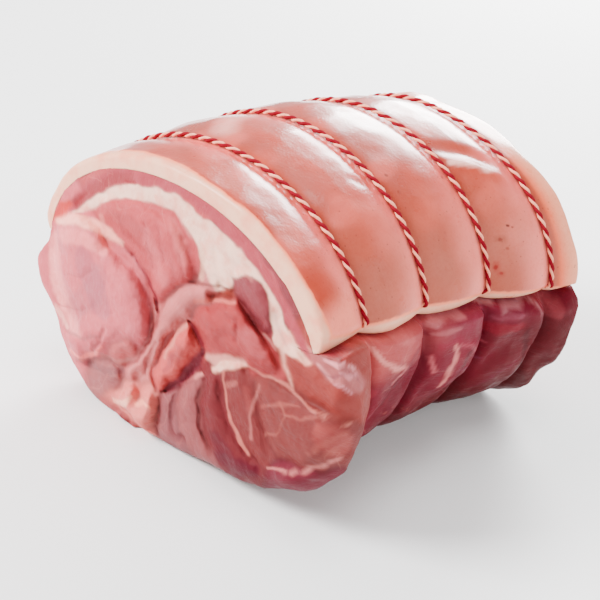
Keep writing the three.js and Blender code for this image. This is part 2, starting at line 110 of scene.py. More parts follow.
# name, rise of the dome, depth of the seam round it, colour, amount of marbling, [y, z, radius]
MUSCLES = (
    ("round", 8, 1.7, (226, 162, 162), 0.05,
     [(53.6, 71.1, 17), (47.8, 60.8, 22), (31.7, 59.2, 19), (22.7, 53.4, 13), (38.6, 42.3, 14),
      (52.4, 26.8, 9)]),
    ("round lobe", 7, 1.5, (222, 158, 154), 0.05, [(30.6, 36.3, 7), (24, 43.1, 8.5)]),
    ("silver end", 2, 2, (202, 150, 148), 0.3, [(40.5, 22.1, 4.5), (29.4, 24.6, 5.5)]),
    ("upper", 5, 1.7, (219, 142, 139), 0.3,
     [(40.2, 96.3, 5), (24.1, 98.2, 9), (8.5, 95.7, 12.5), (0.7, 90.6, 11), (6.6, 75.3, 5.5)]),
    ("pale band", 4, 2.2, (220, 166, 162), 0.15,
     [(-21.1, 89.7, 3.5), (-5.4, 77.6, 7), (3.7, 61.2, 5.5), (11.1, 45.1, 4.5), (20, 28.7, 4)]),
    ("orange bit", 2, 2, (192, 104, 88), 0.1, [(-19.9, 87, 2), (-27.3, 90.6, 2.4)]),
    ("tongue", 6, 2.4, (226, 148, 140), 0.05,
     [(-9.4, 64.3, 3.5), (-9.1, 58.6, 6.5), (-3.7, 47.3, 6), (1.8, 35.8, 3.5)]),
    ("kidney", 6, 2.4, (207, 119, 114), 0.2,
     [(-16.7, 75.2, 5), (-22.4, 73.6, 9), (-31.3, 78.2, 11), (-42.2, 75.1, 10), (-52.8, 72.8, 4)]),
    ("oval", 4, 2, (186, 112, 114), 0.15,
     [(-34.1, 100.3, 4), (-39.7, 97.1, 6.5), (-45.5, 92.4, 6.5), (-48.4, 87, 3)]),
    ("flank wedge", 4, 2.2, (196, 114, 104), 0.15,
     [(-63.3, 81.9, 4), (-73, 76.7, 6), (-83.9, 75, 6.5), (-92.6, 73.9, 5), (-100.5, 75.8, 5)]),
    ("crescent", 3, 1.0, (168, 84, 84), 0.1,
     [(-25.8, 49.9, 3.5), (-26.4, 38.1, 6), (-32.3, 28.1, 8), (-43.1, 21.9, 7), (-50.6, 22.6, 4)]),
    ("narrow strip", 1.6, 0.8, (176, 98, 94), 0.2,
     [(-38.1, 61.3, 4), (-40.9, 50, 7), (-47.8, 40, 6), (-54.3, 32.5, 4)]),
    ("broad muscle", 4, 1.6, (178, 102, 96), 0.2,
     [(-54.1, 59.2, 6), (-64.4, 52.4, 13), (-78.4, 52.4, 15), (-90.1, 57.5, 10), (-97.4, 63.6, 8)]),
    ("under muscle", 3, 2, (166, 77, 87), 0.1, [(-66.8, 26.8, 5), (-80, 33.1, 7), (-92.6, 44.6, 4)]),
    ("pale fold", 1.6, 0.8, (194, 132, 130), 0.15,
     [(-15.7, 42.5, 3.5), (-14, 30.1, 7), (-18.8, 20.1, 6.5), (-26.2, 15.7, 4)]),
    ("clear strip", 0.8, 0.6, (189, 132, 132), 0.15,
     [(-5.4, 34, 2.5), (-2.9, 21.8, 4.5), (-4.7, 11.9, 4.5), (-11.8, 12, 3)]),
    ("base lobe", 8, 2.4, (230, 176, 168), 0.05,
     [(18.2, 22.8, 4), (20.8, 13.3, 5.5), (10.8, 11, 6.5), (7.3, 22.9, 4)]),
    ("base tip", 7, 2, (214, 142, 138), 0.05, [(23.6, 4.6, 2.5), (16.1, 4.3, 3)]),
)
HOLLOW = dict(depth=2.4, width=6, chain=[(-17, 54, 0), (-4, 36, 0)])
DOME_WIDTH, SEAM_WIDTH, BLEND_WIDTH = 4.5, 1.8, 1.6
SEAM_SHADE, SEAM_SHADE_WIDTH, COLOUR_BLEND_WIDTH = 0.22, 1.1, 0.9
# The run of the fibres across the face where it isn't along the muscle
FIBRES = {"upper": (0.2, -1.0)}

# Marks painted over the muscles in turn, among them painted shade in the creases and hollows and painted
# light on lit edges: colour, strength, relief in mm, then [y, z, half width]
FAT = (241, 225, 218)
CREAM = (238, 206, 196)
ROSE = (230, 186, 180)
STRIP = (211, 132, 134)
SHADE = (186, 100, 98)
MARKS_WITH_PAINTED_SHADE_AND_LIGHT = (
    # Fat between the lean strip and the muscles
    (FAT, 1.0, 0, [(60.4, 86, 1), (47.4, 97.5, 2.4), (36.5, 106.2, 2.6), (27.6, 109.6, 2.6),
      (14.6, 114, 3.2), (3.8, 114.9, 3.5), (-6.3, 111.8, 4.5), (-14.4, 107.1, 6), (-19.6, 100.2, 7),
      (-21.5, 94.3, 4.5)]),
    (FAT, 1.0, 0, [(-15, 109.9, 5), (-28.1, 105.9, 7), (-37.9, 108, 4), (-45.3, 105.8, 3),
      (-50.3, 99.8, 2.8), (-53.1, 92, 3), (-56.7, 85.3, 3.5), (-62.7, 85, 3.5)]),
    (CREAM, 0.9, 0, [(-56.7, 85.3, 4), (-62.6, 85.8, 4.5), (-68.6, 84.7, 3.5)]),
    (CREAM, 0.45, 0, [(-56.9, 84.5, 1.6), (-59.9, 75.7, 1.3), (-64.5, 69.4, 0.8)]),
    # Greyish membrane over that fat
    ((226, 200, 188), 0.6, -0.3, [(-11.7, 103.3, 1.2), (-14.1, 97.6, 1.5), (-14, 90.6, 1.2)]),
    ((228, 204, 192), 0.5, -0.3, [(-18.9, 104.9, 0.8), (-22, 97.9, 1)]),
    ((224, 180, 176), 0.45, 0, [(10.2, 113.8, 0.8), (1.1, 111, 1), (-5.7, 104.8, 1)]),
    ((222, 176, 170), 0.4, 0, [(-21.8, 106.3, 1), (-30.5, 103.7, 1.2), (-37.9, 102.2, 1)]),
    ((206, 176, 176), 0.45, 0, [(-51.1, 95.2, 0.8), (-54.4, 88.4, 1), (-58.9, 83.9, 0.8)]),
    (FAT, 0.9, 0, [(-24, 95.4, 3), (-27.1, 96.1, 2.4)]),
    # Paler and greyer places on the muscles, with painted light and painted shade where noted
    # Painted light on the lit left rim of the round muscle, in this mark and the next
    ((244, 204, 200), 0.5, 0, [(70.5, 68.9, 3), (69.8, 54.9, 4.5), (65.6, 46.3, 5), (59.1, 37.8, 4.5),
      (52.9, 33, 3.5)]),
    ((244, 204, 200), 0.45, 0, [(71.2, 61, 2), (70, 50, 2.5), (62.4, 38.1, 2.5), (54.8, 32.1, 2.5)]),
    ((230, 170, 166), 0.85, 0, [(43.9, 82.5, 2.2), (40.5, 81.6, 2.4), (37.3, 81.5, 1.6)]),
    ((238, 192, 188), 0.5, 0, [(63.8, 72.9, 3.5), (52.9, 77, 3.5), (40.7, 77.1, 2.5)]),
    ((196, 150, 160), 0.35, 0, [(50.8, 66.8, 6), (43.9, 58.9, 7), (39.5, 51.5, 6)]),
    ((230, 176, 172), 0.4, 0, [(3.6, 104.8, 2.6), (-0.7, 100.8, 3.4), (-3.5, 94.3, 3.2)]),
    ((228, 172, 168), 0.3, 0, [(2.1, 102, 2), (-1, 96.6, 2.2)]),
    ((228, 172, 170), 0.35, 0, [(16.9, 95.3, 3), (11.2, 85.6, 3.5), (5.9, 79.2, 3)]),
    ((206, 124, 120), 0.4, 0, [(32, 96.4, 5), (23.4, 92.3, 5)]),
    # Painted light on the right part of the broad muscle, where less lamp light reaches
    ((206, 132, 124), 0.75, 0, [(-81.7, 56.1, 5), (-87.5, 56, 6), (-92.5, 59.8, 5)]),
    ((214, 146, 144), 0.5, 0, [(-39.6, 78.1, 4), (-45.1, 76.2, 5)]),
    # Painted shade on the tongue, between it and the pale band
    ((190, 112, 108), 0.5, 0, [(-6.3, 54.3, 2.2), (-3.5, 49.1, 2.6)]),
    # The strip of lean inside the outer fat
    (STRIP, 1.0, -0.15, [(62.3, 86.5, 2), (57.4, 93.2, 2.8), (48, 103.3, 3.2), (37, 111.8, 3.4),
      (26.2, 117.1, 3.4), (15.3, 120, 3.2), (0.5, 122.6, 3.4), (-12.4, 120.8, 3.4), (-23.3, 117.4, 3.3),
      (-34.1, 113.3, 3.1), (-43.9, 108.4, 3), (-51.8, 102.3, 2.6), (-60.1, 93.9, 2.4), (-67.2, 87.4, 2.2),
      (-71, 84.7, 1)]),
    ((200, 118, 116), 0.8, -0.15, [(59, 90.5, 2.2), (47.9, 102.5, 2.4), (36.9, 110.8, 2.4),
      (28.3, 115.5, 1.5)]),
    ((196, 92, 90), 0.7, -0.4, [(59.6, 90.3, 0.8), (56.2, 94.4, 0.8), (53.5, 98, 0.4)]),
    ((196, 92, 90), 0.6, -0.3, [(30.2, 112.4, 0.6), (25.8, 113.8, 1)]),
    ((228, 132, 118), 0.9, -0.3, [(69.3, 79.3, 3), (66.6, 84.6, 3.2), (63.1, 88.7, 1.5)]),
    # Pale seams
    ((240, 208, 200), 0.95, 0.2, [(69.2, 77.9, 1.5), (58.3, 82.8, 2.4), (47.6, 85.8, 2.8), (38, 86.1, 2.2),
      (30.7, 84.7, 0.9)]),
    (ROSE, 0.5, 0.2, [(43.3, 91.4, 1.5), (41.4, 84.1, 1)]),
    ((226, 192, 184), 0.75, 0, [(-20.2, 58.5, 1), (-25.4, 59.9, 2.6), (-33.5, 63.7, 2.2),
      (-40.5, 65.7, 0.9)]),
    (CREAM, 0.9, 0.3, [(-26.1, 55.2, 0.8), (-30.4, 59.4, 1.8), (-35.7, 62.7, 1.2), (-41.6, 65.4, 0.5)]),
    ((226, 178, 168), 0.6, 0.3, [(-41.6, 65.4, 0.5), (-50.7, 66.8, 0.5), (-58.7, 68, 0.7),
      (-64.7, 67.8, 0.8), (-70, 65.9, 0.7), (-75.8, 64.1, 1), (-83.7, 66, 0.8), (-94.6, 68.5, 0.6)]),
    (ROSE, 0.7, 0.2, [(-20.3, 49.7, 0.7), (-14.3, 44.6, 0.6), (-6.2, 36.8, 0.4)]),
    ((224, 180, 170), 0.8, 0.3, [(-9, 67.3, 0.9), (-5.2, 62.5, 0.7), (-1.7, 54.2, 0.6), (1.3, 46.5, 0.5)]),
    ((232, 176, 166), 0.7, 0.3, [(-11.9, 79, 0.8), (-19.7, 84.5, 0.8), (-31.8, 88.5, 0.7)]),
    ((228, 176, 166), 0.65, 0.2, [(-30.8, 56.8, 0.4), (-32.1, 49.7, 0.4), (-35, 42.9, 0.5),
      (-38.7, 36.6, 0.8), (-43.7, 31.9, 1.3), (-48.6, 28.1, 0.9)]),
    (ROSE, 0.3, 0.1, [(-49.1, 61, 0.4), (-47, 51.6, 0.8), (-46.9, 44.1, 0.6), (-49, 36, 0.8)]),
    ((226, 176, 168), 0.3, 0.1, [(-33.1, 51.7, 1), (-37.4, 55.4, 1)]),
    ((216, 158, 148), 0.4, 0.1, [(-51.1, 52.1, 0.4), (-60.2, 59, 0.7), (-68.7, 62.1, 0.3)]),
    ((216, 158, 148), 0.4, 0.1, [(-60.2, 59, 0.5), (-62.3, 55.7, 0.5), (-69.5, 57.6, 0.5),
      (-76.8, 61.3, 0.7), (-85.5, 66.8, 0.4)]),
    ((216, 158, 148), 0.35, 0.1, [(-62.5, 54.9, 0.4), (-60.5, 45.5, 0.4), (-55, 40.9, 0.4)]),
    ((216, 156, 146), 0.35, 0.1, [(-76.8, 45.1, 0.6), (-80.7, 51, 0.9), (-87.2, 57.6, 0.6),
      (-93.6, 64, 0.3)]),
    ((216, 156, 146), 0.35, 0.1, [(-82.6, 45.8, 0.5), (-88.1, 52.8, 0.8), (-92.8, 58.3, 0.5)]),
    (ROSE, 0.6, 0.1, [(-59.3, 27.9, 0.5), (-70.9, 32.7, 0.6), (-83.2, 42.5, 0.6), (-92.2, 51.6, 0.6)]),
    # Membranes round the lobes at the lower left
    ((238, 186, 180), 0.9, 0.3, [(57.7, 20, 0.9), (48.6, 20.5, 1.1), (41, 27.4, 0.9), (37.1, 32.9, 0.5)]),
    ((214, 168, 164), 0.7, 0.2, [(37.3, 28.3, 1), (26.4, 31.2, 1), (17.2, 36.1, 0.6)]),
    ((166, 122, 126), 0.35, -0.2, [(51.1, 18.9, 1), (40.4, 21.2, 1.8), (30.6, 23.8, 1.8), (24.8, 27.6, 1)]),
    ((242, 216, 206), 0.8, 0.2, [(27.4, 11.1, 1), (22, 12.6, 1.5), (17.6, 18.1, 0.6)]),
    ((242, 206, 194), 0.7, 0.2, [(15, 16.6, 0.8), (11.7, 19.3, 1.2), (6.9, 19.2, 0.8)]),
    ((242, 216, 210), 0.6, 0.2, [(67.5, 36.5, 1.8), (63.3, 33.6, 1.4), (60.5, 31.1, 1)]),
    ((206, 150, 150), 0.6, -0.3, [(60.4, 29.2, 0.7), (48.9, 31.1, 0.9), (38.2, 37.7, 0.5)]),
    ((190, 148, 156), 0.22, 0, [(56.2, 41.2, 4.5), (44.7, 54.7, 5.5), (40.9, 66, 4)]),
    # Creases and dark places: the creases and hollows get painted shade as well as their relief
    ((196, 112, 112), 0.5, -0.3, [(33.6, 95.2, 0.3), (30.1, 89.7, 0.4)]),
    ((196, 112, 112), 0.5, -0.3, [(19.1, 99.1, 0.3), (16.4, 92.9, 0.4), (12.2, 82.4, 0.3)]),
    ((196, 112, 112), 0.5, -0.3, [(12.1, 100.5, 0.3), (9.2, 94.5, 0.4), (7, 88, 0.3)]),
    ((196, 112, 112), 0.5, -0.3, [(3.8, 90.9, 0.3), (2, 87.3, 0.5), (0.9, 83.4, 0.3)]),
    ((196, 112, 112), 0.45, -0.3, [(-1.2, 95, 0.3), (-3.6, 87.4, 0.4)]),
    ((196, 112, 112), 0.4, -0.3, [(-5.3, 100.3, 0.3), (-7.1, 94.2, 0.4)]),
    ((204, 132, 132), 0.4, -0.3, [(66.3, 39.1, 0.3), (56.2, 41.2, 0.4), (47.7, 46.4, 0.3)]),
    ((204, 132, 132), 0.35, -0.3, [(62.4, 55.6, 0.3), (52.5, 58.5, 0.4), (45.6, 64.6, 0.3)]),
    ((190, 108, 110), 0.5, -0.4, [(-3.4, 50, 0.8), (-1.8, 46.3, 1.4), (1.1, 40, 0.8)]),
    ((176, 84, 90), 0.85, -0.9, [(24.1, 82.6, 0.2), (18.5, 79.4, 0.4), (13.5, 75.5, 0.7), (9.4, 70.7, 0.8),
      (6.7, 65.2, 0.6)]),
    (SHADE, 0.7, -0.8, [(6.7, 65.2, 0.8), (7.9, 58.1, 0.9), (11.4, 47.8, 0.9), (16.2, 37.6, 0.8),
      (23.8, 30.1, 0.6)]),
    (SHADE, 0.55, -0.8, [(30.8, 84.9, 0.4), (24.1, 82.6, 0.5)]),
    ((200, 122, 120), 0.6, -0.8, [(36.1, 42.2, 0.6), (38.6, 35.5, 0.8), (42.3, 28.6, 0.7)]),
    ((206, 134, 130), 0.55, -0.7, [(-4.5, 85.1, 0.5), (0.2, 78.4, 0.9), (4.8, 69.8, 0.8),
      (6.3, 63.6, 0.5)]),
    ((204, 130, 126), 0.6, -0.9, [(-2, 61.3, 0.5), (2.6, 52.4, 0.8), (6, 42.1, 0.9), (6.2, 33.3, 0.8),
      (3.2, 28.2, 0.5)]),
    ((206, 132, 128), 0.5, -0.7, [(7.1, 51, 0.4), (10.6, 40.6, 0.6), (11.4, 32.4, 0.5)]),
    ((166, 76, 80), 0.9, -1.1, [(-10.4, 69.3, 0.5), (-14.2, 66.3, 1), (-17.9, 62.8, 1.2), (-19, 59.2, 1)]),
    ((177, 93, 102), 0.95, -1.0, [(-18.8, 59.1, 1), (-16.5, 53.2, 2.4), (-12.9, 46.6, 2.8),
      (-8.1, 39.8, 2), (-2.1, 32.6, 0.9)]),
    ((160, 90, 84), 0.7, -0.5, [(-6.6, 85.7, 0.5), (-15.9, 88.8, 0.8), (-25, 92.1, 0.7), (-30, 93.2, 0.4)]),
    ((178, 88, 78), 0.7, -0.5, [(-17.5, 84.9, 0.6), (-24.6, 87.5, 0.9), (-30.3, 91.2, 0.5)]),
    ((170, 90, 90), 0.6, -0.7, [(-31, 93.7, 0.5), (-36.9, 88.9, 0.8), (-43.1, 85.2, 0.8),
      (-47.2, 82.1, 0.6)]),
    ((190, 92, 90), 0.5, -0.3, [(-44.9, 83.5, 0.8), (-48.1, 79.9, 1.2), (-49.1, 76.9, 0.8)]),
    ((220, 176, 170), 0.6, 0.2, [(-48, 83.4, 0.5), (-51.8, 81.9, 0.6), (-55.1, 80.1, 0.4)]),
    (SHADE, 0.5, -0.5, [(-28.7, 81.3, 0.4), (-33.9, 81.3, 0.7), (-34.2, 72.7, 0.4)]),
    ((164, 96, 96), 0.5, -1.0, [(-1.1, 31.5, 0.6), (1.6, 25.1, 0.9), (3.2, 16.3, 0.8), (2.1, 8.9, 0.8)]),
    ((172, 106, 106), 0.45, -0.8, [(-8.4, 37.5, 0.6), (-6.5, 27.7, 0.8), (-6.2, 18.7, 0.7),
      (-9.2, 13.5, 0.7)]),
    ((160, 86, 84), 0.45, -0.6, [(-21.6, 48.6, 0.5), (-19.9, 36.3, 0.8), (-22, 25.9, 0.7),
      (-29.3, 17.5, 0.8)]),
    ((146, 54, 68), 0.85, 0, [(-34.7, 18.8, 3), (-42.5, 18.6, 4), (-52.8, 22, 3)]),
    ((150, 60, 70), 0.65, 0, [(-30.4, 26, 3), (-37.7, 21.6, 4)]),
    ((196, 118, 112), 0.5, 0, [(-43.2, 55.8, 1.5), (-45.5, 48, 1.5)]),
    ((140, 58, 62), 0.9, -0.8, [(23, 4.9, 0.6), (19.3, 5.2, 1.2)]),
    ((140, 58, 62), 0.8, -0.8, [(2.3, 10.8, 0.7), (1.4, 8.3, 1)]),
    ((140, 60, 68), 0.6, -0.9, [(-10.9, 14, 0.6), (-14.3, 14.7, 1.3)]),
    # The wet membrane and the fold below the end of the outer fat
    ((208, 151, 148), 0.9, 0.2, [(-72.3, 85.8, 2.2), (-79.1, 85.2, 4.4), (-87.6, 84.8, 5),
      (-94.6, 86.9, 4.4)]),
    ((200, 111, 113), 0.9, -0.2, [(-79.1, 90.3, 1.4), (-82.9, 94.8, 2.8), (-87, 101.9, 3.2),
      (-92, 108.6, 3.4)]),
    ((220, 134, 125), 0.7, 0.3, [(-86.1, 92.4, 0.8), (-88.7, 97.9, 1.6), (-91.2, 104.1, 1.6),
      (-91.4, 107.5, 1)]),
    # Painted shade along the deepest line of the fold
    ((163, 59, 65), 0.85, -0.6, [(-80.1, 90, 0.5), (-83, 94.1, 0.9), (-86.1, 99.8, 0.9),
      (-87.6, 103.9, 0.5)]),
    ((228, 189, 187), 0.5, 0.2, [(-74.6, 83.6, 0.6), (-80, 82.7, 1), (-81.8, 80.7, 0.6)]),
    ((236, 205, 205), 0.6, 0.3, [(-77.8, 87.1, 0.5), (-83.3, 87.9, 1), (-87.4, 90.9, 0.6)]),
    ((231, 196, 197), 0.5, 0.2, [(-84.6, 85.7, 0.6), (-89.3, 85.7, 1.1), (-94.2, 89.2, 0.7)]),
    ((228, 192, 194), 0.5, 0.2, [(-83, 79.7, 0.5), (-87.5, 80.5, 0.8), (-92.1, 80.9, 0.5)]),
    ((237, 210, 210), 0.5, 0.3, [(-90.1, 91.2, 0.4), (-92.5, 90.8, 0.7)]),
    ((180, 123, 130), 0.5, -0.3, [(-76.8, 82.3, 0.4), (-82.4, 82.8, 0.7), (-87.3, 86.3, 0.4)]),
    ((184, 129, 134), 0.5, -0.2, [(-86, 88.5, 0.4), (-90.6, 88.5, 0.6), (-95.4, 87.4, 0.4)]),
)

# Marks on the flank's lean, along X and in degrees round the section, the first three of them painted shade
# in creases: colour, strength, then
# [x, angle, half width in mm]
FLANK_MARKS_AND_PAINTED_SHADE = (
    # Painted shade in the three creases that run down from the rings of twine
    ((150, 60, 68), 0.6, [(65.3, 2.8, 1), (54.8, -1, 1.2), (52.4, -9.2, 1.2), (43.7, -19.5, 1.2)]),
    ((108, 22, 42), 0.6, [(98.6, -3.2, 0.8), (91.7, -8.8, 1), (90.5, -18.2, 1), (95.3, -32.2, 1)]),
    ((95, 10, 35), 0.7, [(125.3, -7, 1), (128.6, -16.8, 1.2), (132.2, -31, 1.2)]),
    ((166, 86, 88), 0.6, [(130.4, 0.5, 2.2), (141.8, -3.2, 3)]),
    ((206, 142, 138), 0.5, [(42.2, 9.5, 1.5), (50.3, 5, 2.2)]),
    ((212, 164, 158), 0.85, [(25.7, 10, 0.7), (29, 6.2, 1.1), (33.8, 2.5, 0.9), (40.4, -1.2, 0.9),
      (50, -2.5, 0.8)]),
    ((206, 150, 148), 0.75, [(42.8, -5.8, 0.5), (49.1, -5, 0.6), (51.2, -3.2, 0.5)]),
    ((186, 96, 100), 0.5, [(14.9, 5.2, 2.5), (29.9, -6.8, 1.5)]),
    ((202, 150, 150), 0.55, [(65.6, 6, 1), (68.6, 5.5, 1.5), (76.7, 5.2, 1.2), (87.5, 4.8, 1)]),
    ((196, 142, 142), 0.45, [(67.1, 2.8, 0.6), (72.5, 1.8, 0.8), (81.5, 1.2, 0.5)]),
    ((170, 56, 74), 0.5, [(69.5, -1.2, 1.2), (80.3, -2, 1.2), (102.8, -8, 1)]),
    ((206, 142, 142), 0.6, [(67.1, -5, 0.8), (70.1, -10, 1)]),
    ((208, 154, 148), 0.85, [(80.9, -3.8, 0.9), (81.8, -9, 1.4), (82.1, -15.2, 1.5), (80.3, -20.2, 1.1)]),
    ((196, 120, 126), 0.6, [(83.6, -4, 0.5), (104.3, -10.2, 0.5)]),
    ((196, 158, 158), 0.7, [(96.2, 6, 1.1), (105.8, 3.8, 1.4), (111.8, 3.8, 1.2), (119.6, 3.8, 0.9)]),
    ((190, 148, 150), 0.6, [(108.2, 0.5, 0.6), (116, 1, 1), (124.7, 0.8, 1), (130.4, -2, 0.6)]),
    ((176, 110, 120), 0.45, [(104.9, -0.8, 0.5), (110, -1.2, 0.5), (119, -1.5, 0.6)]),
    ((168, 40, 62), 0.6, [(104.6, -4, 2), (109.4, -4.5, 2.5), (118.7, -4.5, 1.5)]),
    ((158, 96, 118), 0.5, [(88.4, -16, 0.5), (99.5, -19.2, 0.5), (105.5, -17.8, 0.3)]),
    ((158, 62, 88), 0.4, [(111.2, -31.2, 0.4), (116.6, -25, 0.5), (124.1, -20.5, 0.4)]),
)

# The flank's lean along X, at three heights, darker lower down from the meat's own colour and from painted
# shade
FLANK_TINTS = {
    "x": [20, 45, 83, 120, 146],
    "upper": [(194, 112, 106), (190, 114, 110), (158, 74, 84), (138, 46, 60), (132, 32, 50)],
    "lower": [(158, 66, 74), (132, 28, 50), (150, 34, 60), (130, 10, 46), (124, 2, 42)],
    "bottom": [(144, 50, 62), (120, 14, 42), (118, 8, 38), (112, 2, 36), (108, 2, 34)],
}

# Dents, folds and ridges of the rind: depth in mm (negative is a ridge), half width, [x, degrees]
RIND_FOLDS = (
    (1.3, 4.5, [(106, 65.5), (112, 64.5), (118, 62), (124, 58.5)]),
    (-0.8, 3.6, [(106, 58.5), (113, 56.6), (119, 54.3), (125, 51.5)]),
    (0.7, 2.5, [(29, 100), (30, 95), (31, 90)]),
    (0.5, 1.5, [(55, 63), (57, 60)]),
    (0.6, 2.0, [(70, 128), (78, 122), (88, 118)]),
    (0.8, 2.4, [(112, 132), (120, 126), (126, 122)]),
    (0.6, 2.0, [(38, 140), (46, 133)]),
)

# Soft patches of colour on the rind, two of them painted highlights: colour, strength, half width, [x,
# degrees]
RIND_PATCHES_AND_HIGHLIGHTS = (
    ((210, 108, 80), 0.85, 6.0, [(108, 71), (116, 69), (122, 65)]),
    # A painted highlight along the pale ridge of the fold
    ((250, 228, 222), 0.8, 2.4, [(108, 58.5), (113, 57), (118, 55), (122, 53)]),
    # A painted highlight on the top of the pillow between the first and second rings
    ((250, 222, 216), 0.6, 9.0, [(38, 104), (46, 108), (56, 110)]),
    ((168, 92, 72), 0.35, 2.0, [(111, 27.8), (113, 27.2)]),
    ((206, 84, 66), 0.4, 2.4, [(108, 19), (107.5, 16), (109.5, 14.5)]),
)

# Small blemishes on the rind: colour, strength, radius in mm, x, degrees
RIND_SPOTS = (
    ((116, 58, 50), 0.85, 0.7, 117, 31.9),
    ((120, 62, 54), 0.6, 0.45, 118.6, 31.2),
    ((176, 84, 66), 0.6, 1.1, 112, 27.5),
    ((176, 84, 66), 0.5, 0.9, 114.2, 23.8),
    ((198, 62, 54), 0.75, 1.3, 107.4, 17.5),
    ((198, 62, 54), 0.6, 1.0, 109.6, 14.8),
    ((104, 60, 56), 0.7, 0.6, 55.2, 62.4),
    ((112, 66, 60), 0.6, 0.5, 57.3, 61.5),
    ((150, 84, 66), 0.6, 0.8, 71.5, 59.7),
    ((150, 84, 66), 0.5, 0.7, 92.8, 139.5),
    ((160, 90, 72), 0.5, 1.2, 45.5, 119.5),
    ((150, 96, 92), 0.8, 0.6, 10.3, 20.3),
)

# The tone curve of the render, which pales bright colours, and the light that falls on the joint
FILM_IN = np.array([[0.5448, 0.3738, 0.0814], [0.1404, 0.7541, 0.1054], [0.0888, 0.1789, 0.7323]])
FILM_SPREAD = np.array([[1.1271, -0.1106, -0.0165], [-0.1413, 1.1578, -0.0165], [-0.1413, -0.1106, 1.2519]])
FILM_OUT = np.array([[1.6605, -0.5876, -0.0728], [-0.1246, 1.1329, -0.0083], [-0.0182, -0.1006, 1.1187]])
FACE_LIGHT, RIND_LIGHT, LOW_RIND_LIGHT, FLANK_LIGHT = 3.1, 2.5, 1.95, 1.85
# The light that the wet surface adds by itself, and the brightest surface colour
SHEEN, BRIGHTEST = 0.012, 0.92
LINEAR = {}

# The camera that matches the photograph, aimed at a place in the roll's frame
CAMERA = dict(azimuth=52.09, elevation=30.17, roll=8.71, target=(64.95, -7.94, 53.82),
              distance=620.0, lens=88.24)

degrees = math.pi / 180


def smoothstep(low, high, value):
    t = np.clip((value - low) / (high - low), 0, 1)
    return t * t * (3 - 2 * t)


def mix(a, b, t):
    return a + (b - a) * t


def film(light):
    """The screen colour, from 0 to 255, that the film-like tone curve gives to this light."""
    v = FILM_IN @ np.asarray(light, float)
    v = np.clip((np.log2(np.maximum(v, 1e-10)) + 12.47393) / 16.5, 0, 1)
    v = ((((15.5 * v - 40.14) * v + 31.96) * v - 6.868) * v + 0.4298) * v * v + 0.1191 * v - 0.00232
    v = np.clip(FILM_OUT @ np.maximum(FILM_SPREAD @ v, 0) ** 2.2, 0, 1)
    return 255 * np.where(v <= 0.0031308, v * 12.92, 1.055 * v ** (1 / 2.4) - 0.055)


def light_of(rgb):
    """The light that shows on screen as this colour, from 0 to 255."""
    if rgb not in LINEAR:
        light = np.array([0.0, -1.2, -1.2])
        for _ in range(60):
            shown = film(np.exp(light))
            slope = np.stack([film(np.exp(light + step)) - shown for step in 0.01 * np.eye(3)], 1) / 0.01
            turn = np.linalg.solve(slope.T @ slope + 0.5 * np.eye(3), slope.T @ (shown - rgb))
            light = light - 0.7 * np.clip(turn, -1, 1)
        LINEAR[rgb] = np.exp(light)
    return LINEAR[rgb]


def linear(rgb, level=FACE_LIGHT):
    """The surface colour that looks like rgb in this light, or darker if it can't be so bright."""
    for darker in range(0, 100, 4):
        surface = (light_of(tuple(value - darker for value in rgb)) - SHEEN) / level
        if surface.max() <= BRIGHTEST:
            break
    return np.clip(surface, 0.001, BRIGHTEST)


def along_roll(x, key):
    """A smooth curve through the stations."""
    xs, values = STATIONS["x"], STATIONS[key]
    last = len(xs) - 1
    before = np.maximum(np.arange(last + 1) - 1, 0)
    after = np.minimum(np.arange(last + 1) + 1, last)
    slope = (values[after] - values[before]) / (xs[after] - xs[before])
    i = np.clip(np.searchsorted(xs, x, "left") - 1, 0, last - 1)
    width = xs[i + 1] - xs[i]
    t = (x - xs[i]) / width
    rise = t * (1 - t) ** 2 * width * slope[i]
    fall = t * t * (1 - t) * width * slope[i + 1]
    return mix(values[i], values[i + 1], t * t * (3 - 2 * t)) + rise - fall


def loop_distance(x):
    """How far along the roll the nearest ring of twine is."""
    return np.min(np.abs(np.asarray(x, float)[..., None] - LOOP_X), axis=-1)


def beside_loop(x):
    return np.maximum(0, loop_distance(x) - GROOVE_HALF_WIDTH)


def rind_edge(x):
    """The angle of the rind's lower edge on the front flank, which sinks towards the far end."""
    return 19 - 0.13 * (x - LOOP_X[0]) + 3 * np.maximum(0, 1 - x / LOOP_X[0]) ** 2


def fat_edge(x):
    """The angle of the fat's lower edge below it, raised at the twine and at both ends."""
    pinch = 1.2 * np.exp(-loop_distance(x) / 5)
    return 14.8 - 0.107 * x + pinch + 3.8 * smoothstep(45, 12, x) + 2.6 * smoothstep(140, 152, x)


def back_rind_edge(x):
    """The same two edges on the back flank, which is hidden in the photograph."""
    return 173 + 0.03 * x


def back_fat_edge(x):
    return back_rind_edge(x) + 6


def below_cap(x, angle):
    """How many degrees the place is below the nearer lower edge of the cap."""
    return np.minimum(angle - back_fat_edge(x), fat_edge(x) + 360 - angle)


def above_level(angle):
    """Degrees above the level line on either flank, negative in the lower half."""
    return np.where(angle > 270, angle - 360, 180 - angle)


def power(value, exponent):
    """A power that keeps the sign."""
    return np.sign(value) * np.abs(value) ** exponent


def rind_swell(x, angle):
    """How far the rind swells out between the rings of twine."""
    side = np.cos(angle * degrees)
    return (RIND_SWELL + RIND_SWELL_ON_FLANK * side * side) * (1 - np.exp(-beside_loop(x) / RIND_SOFTNESS))


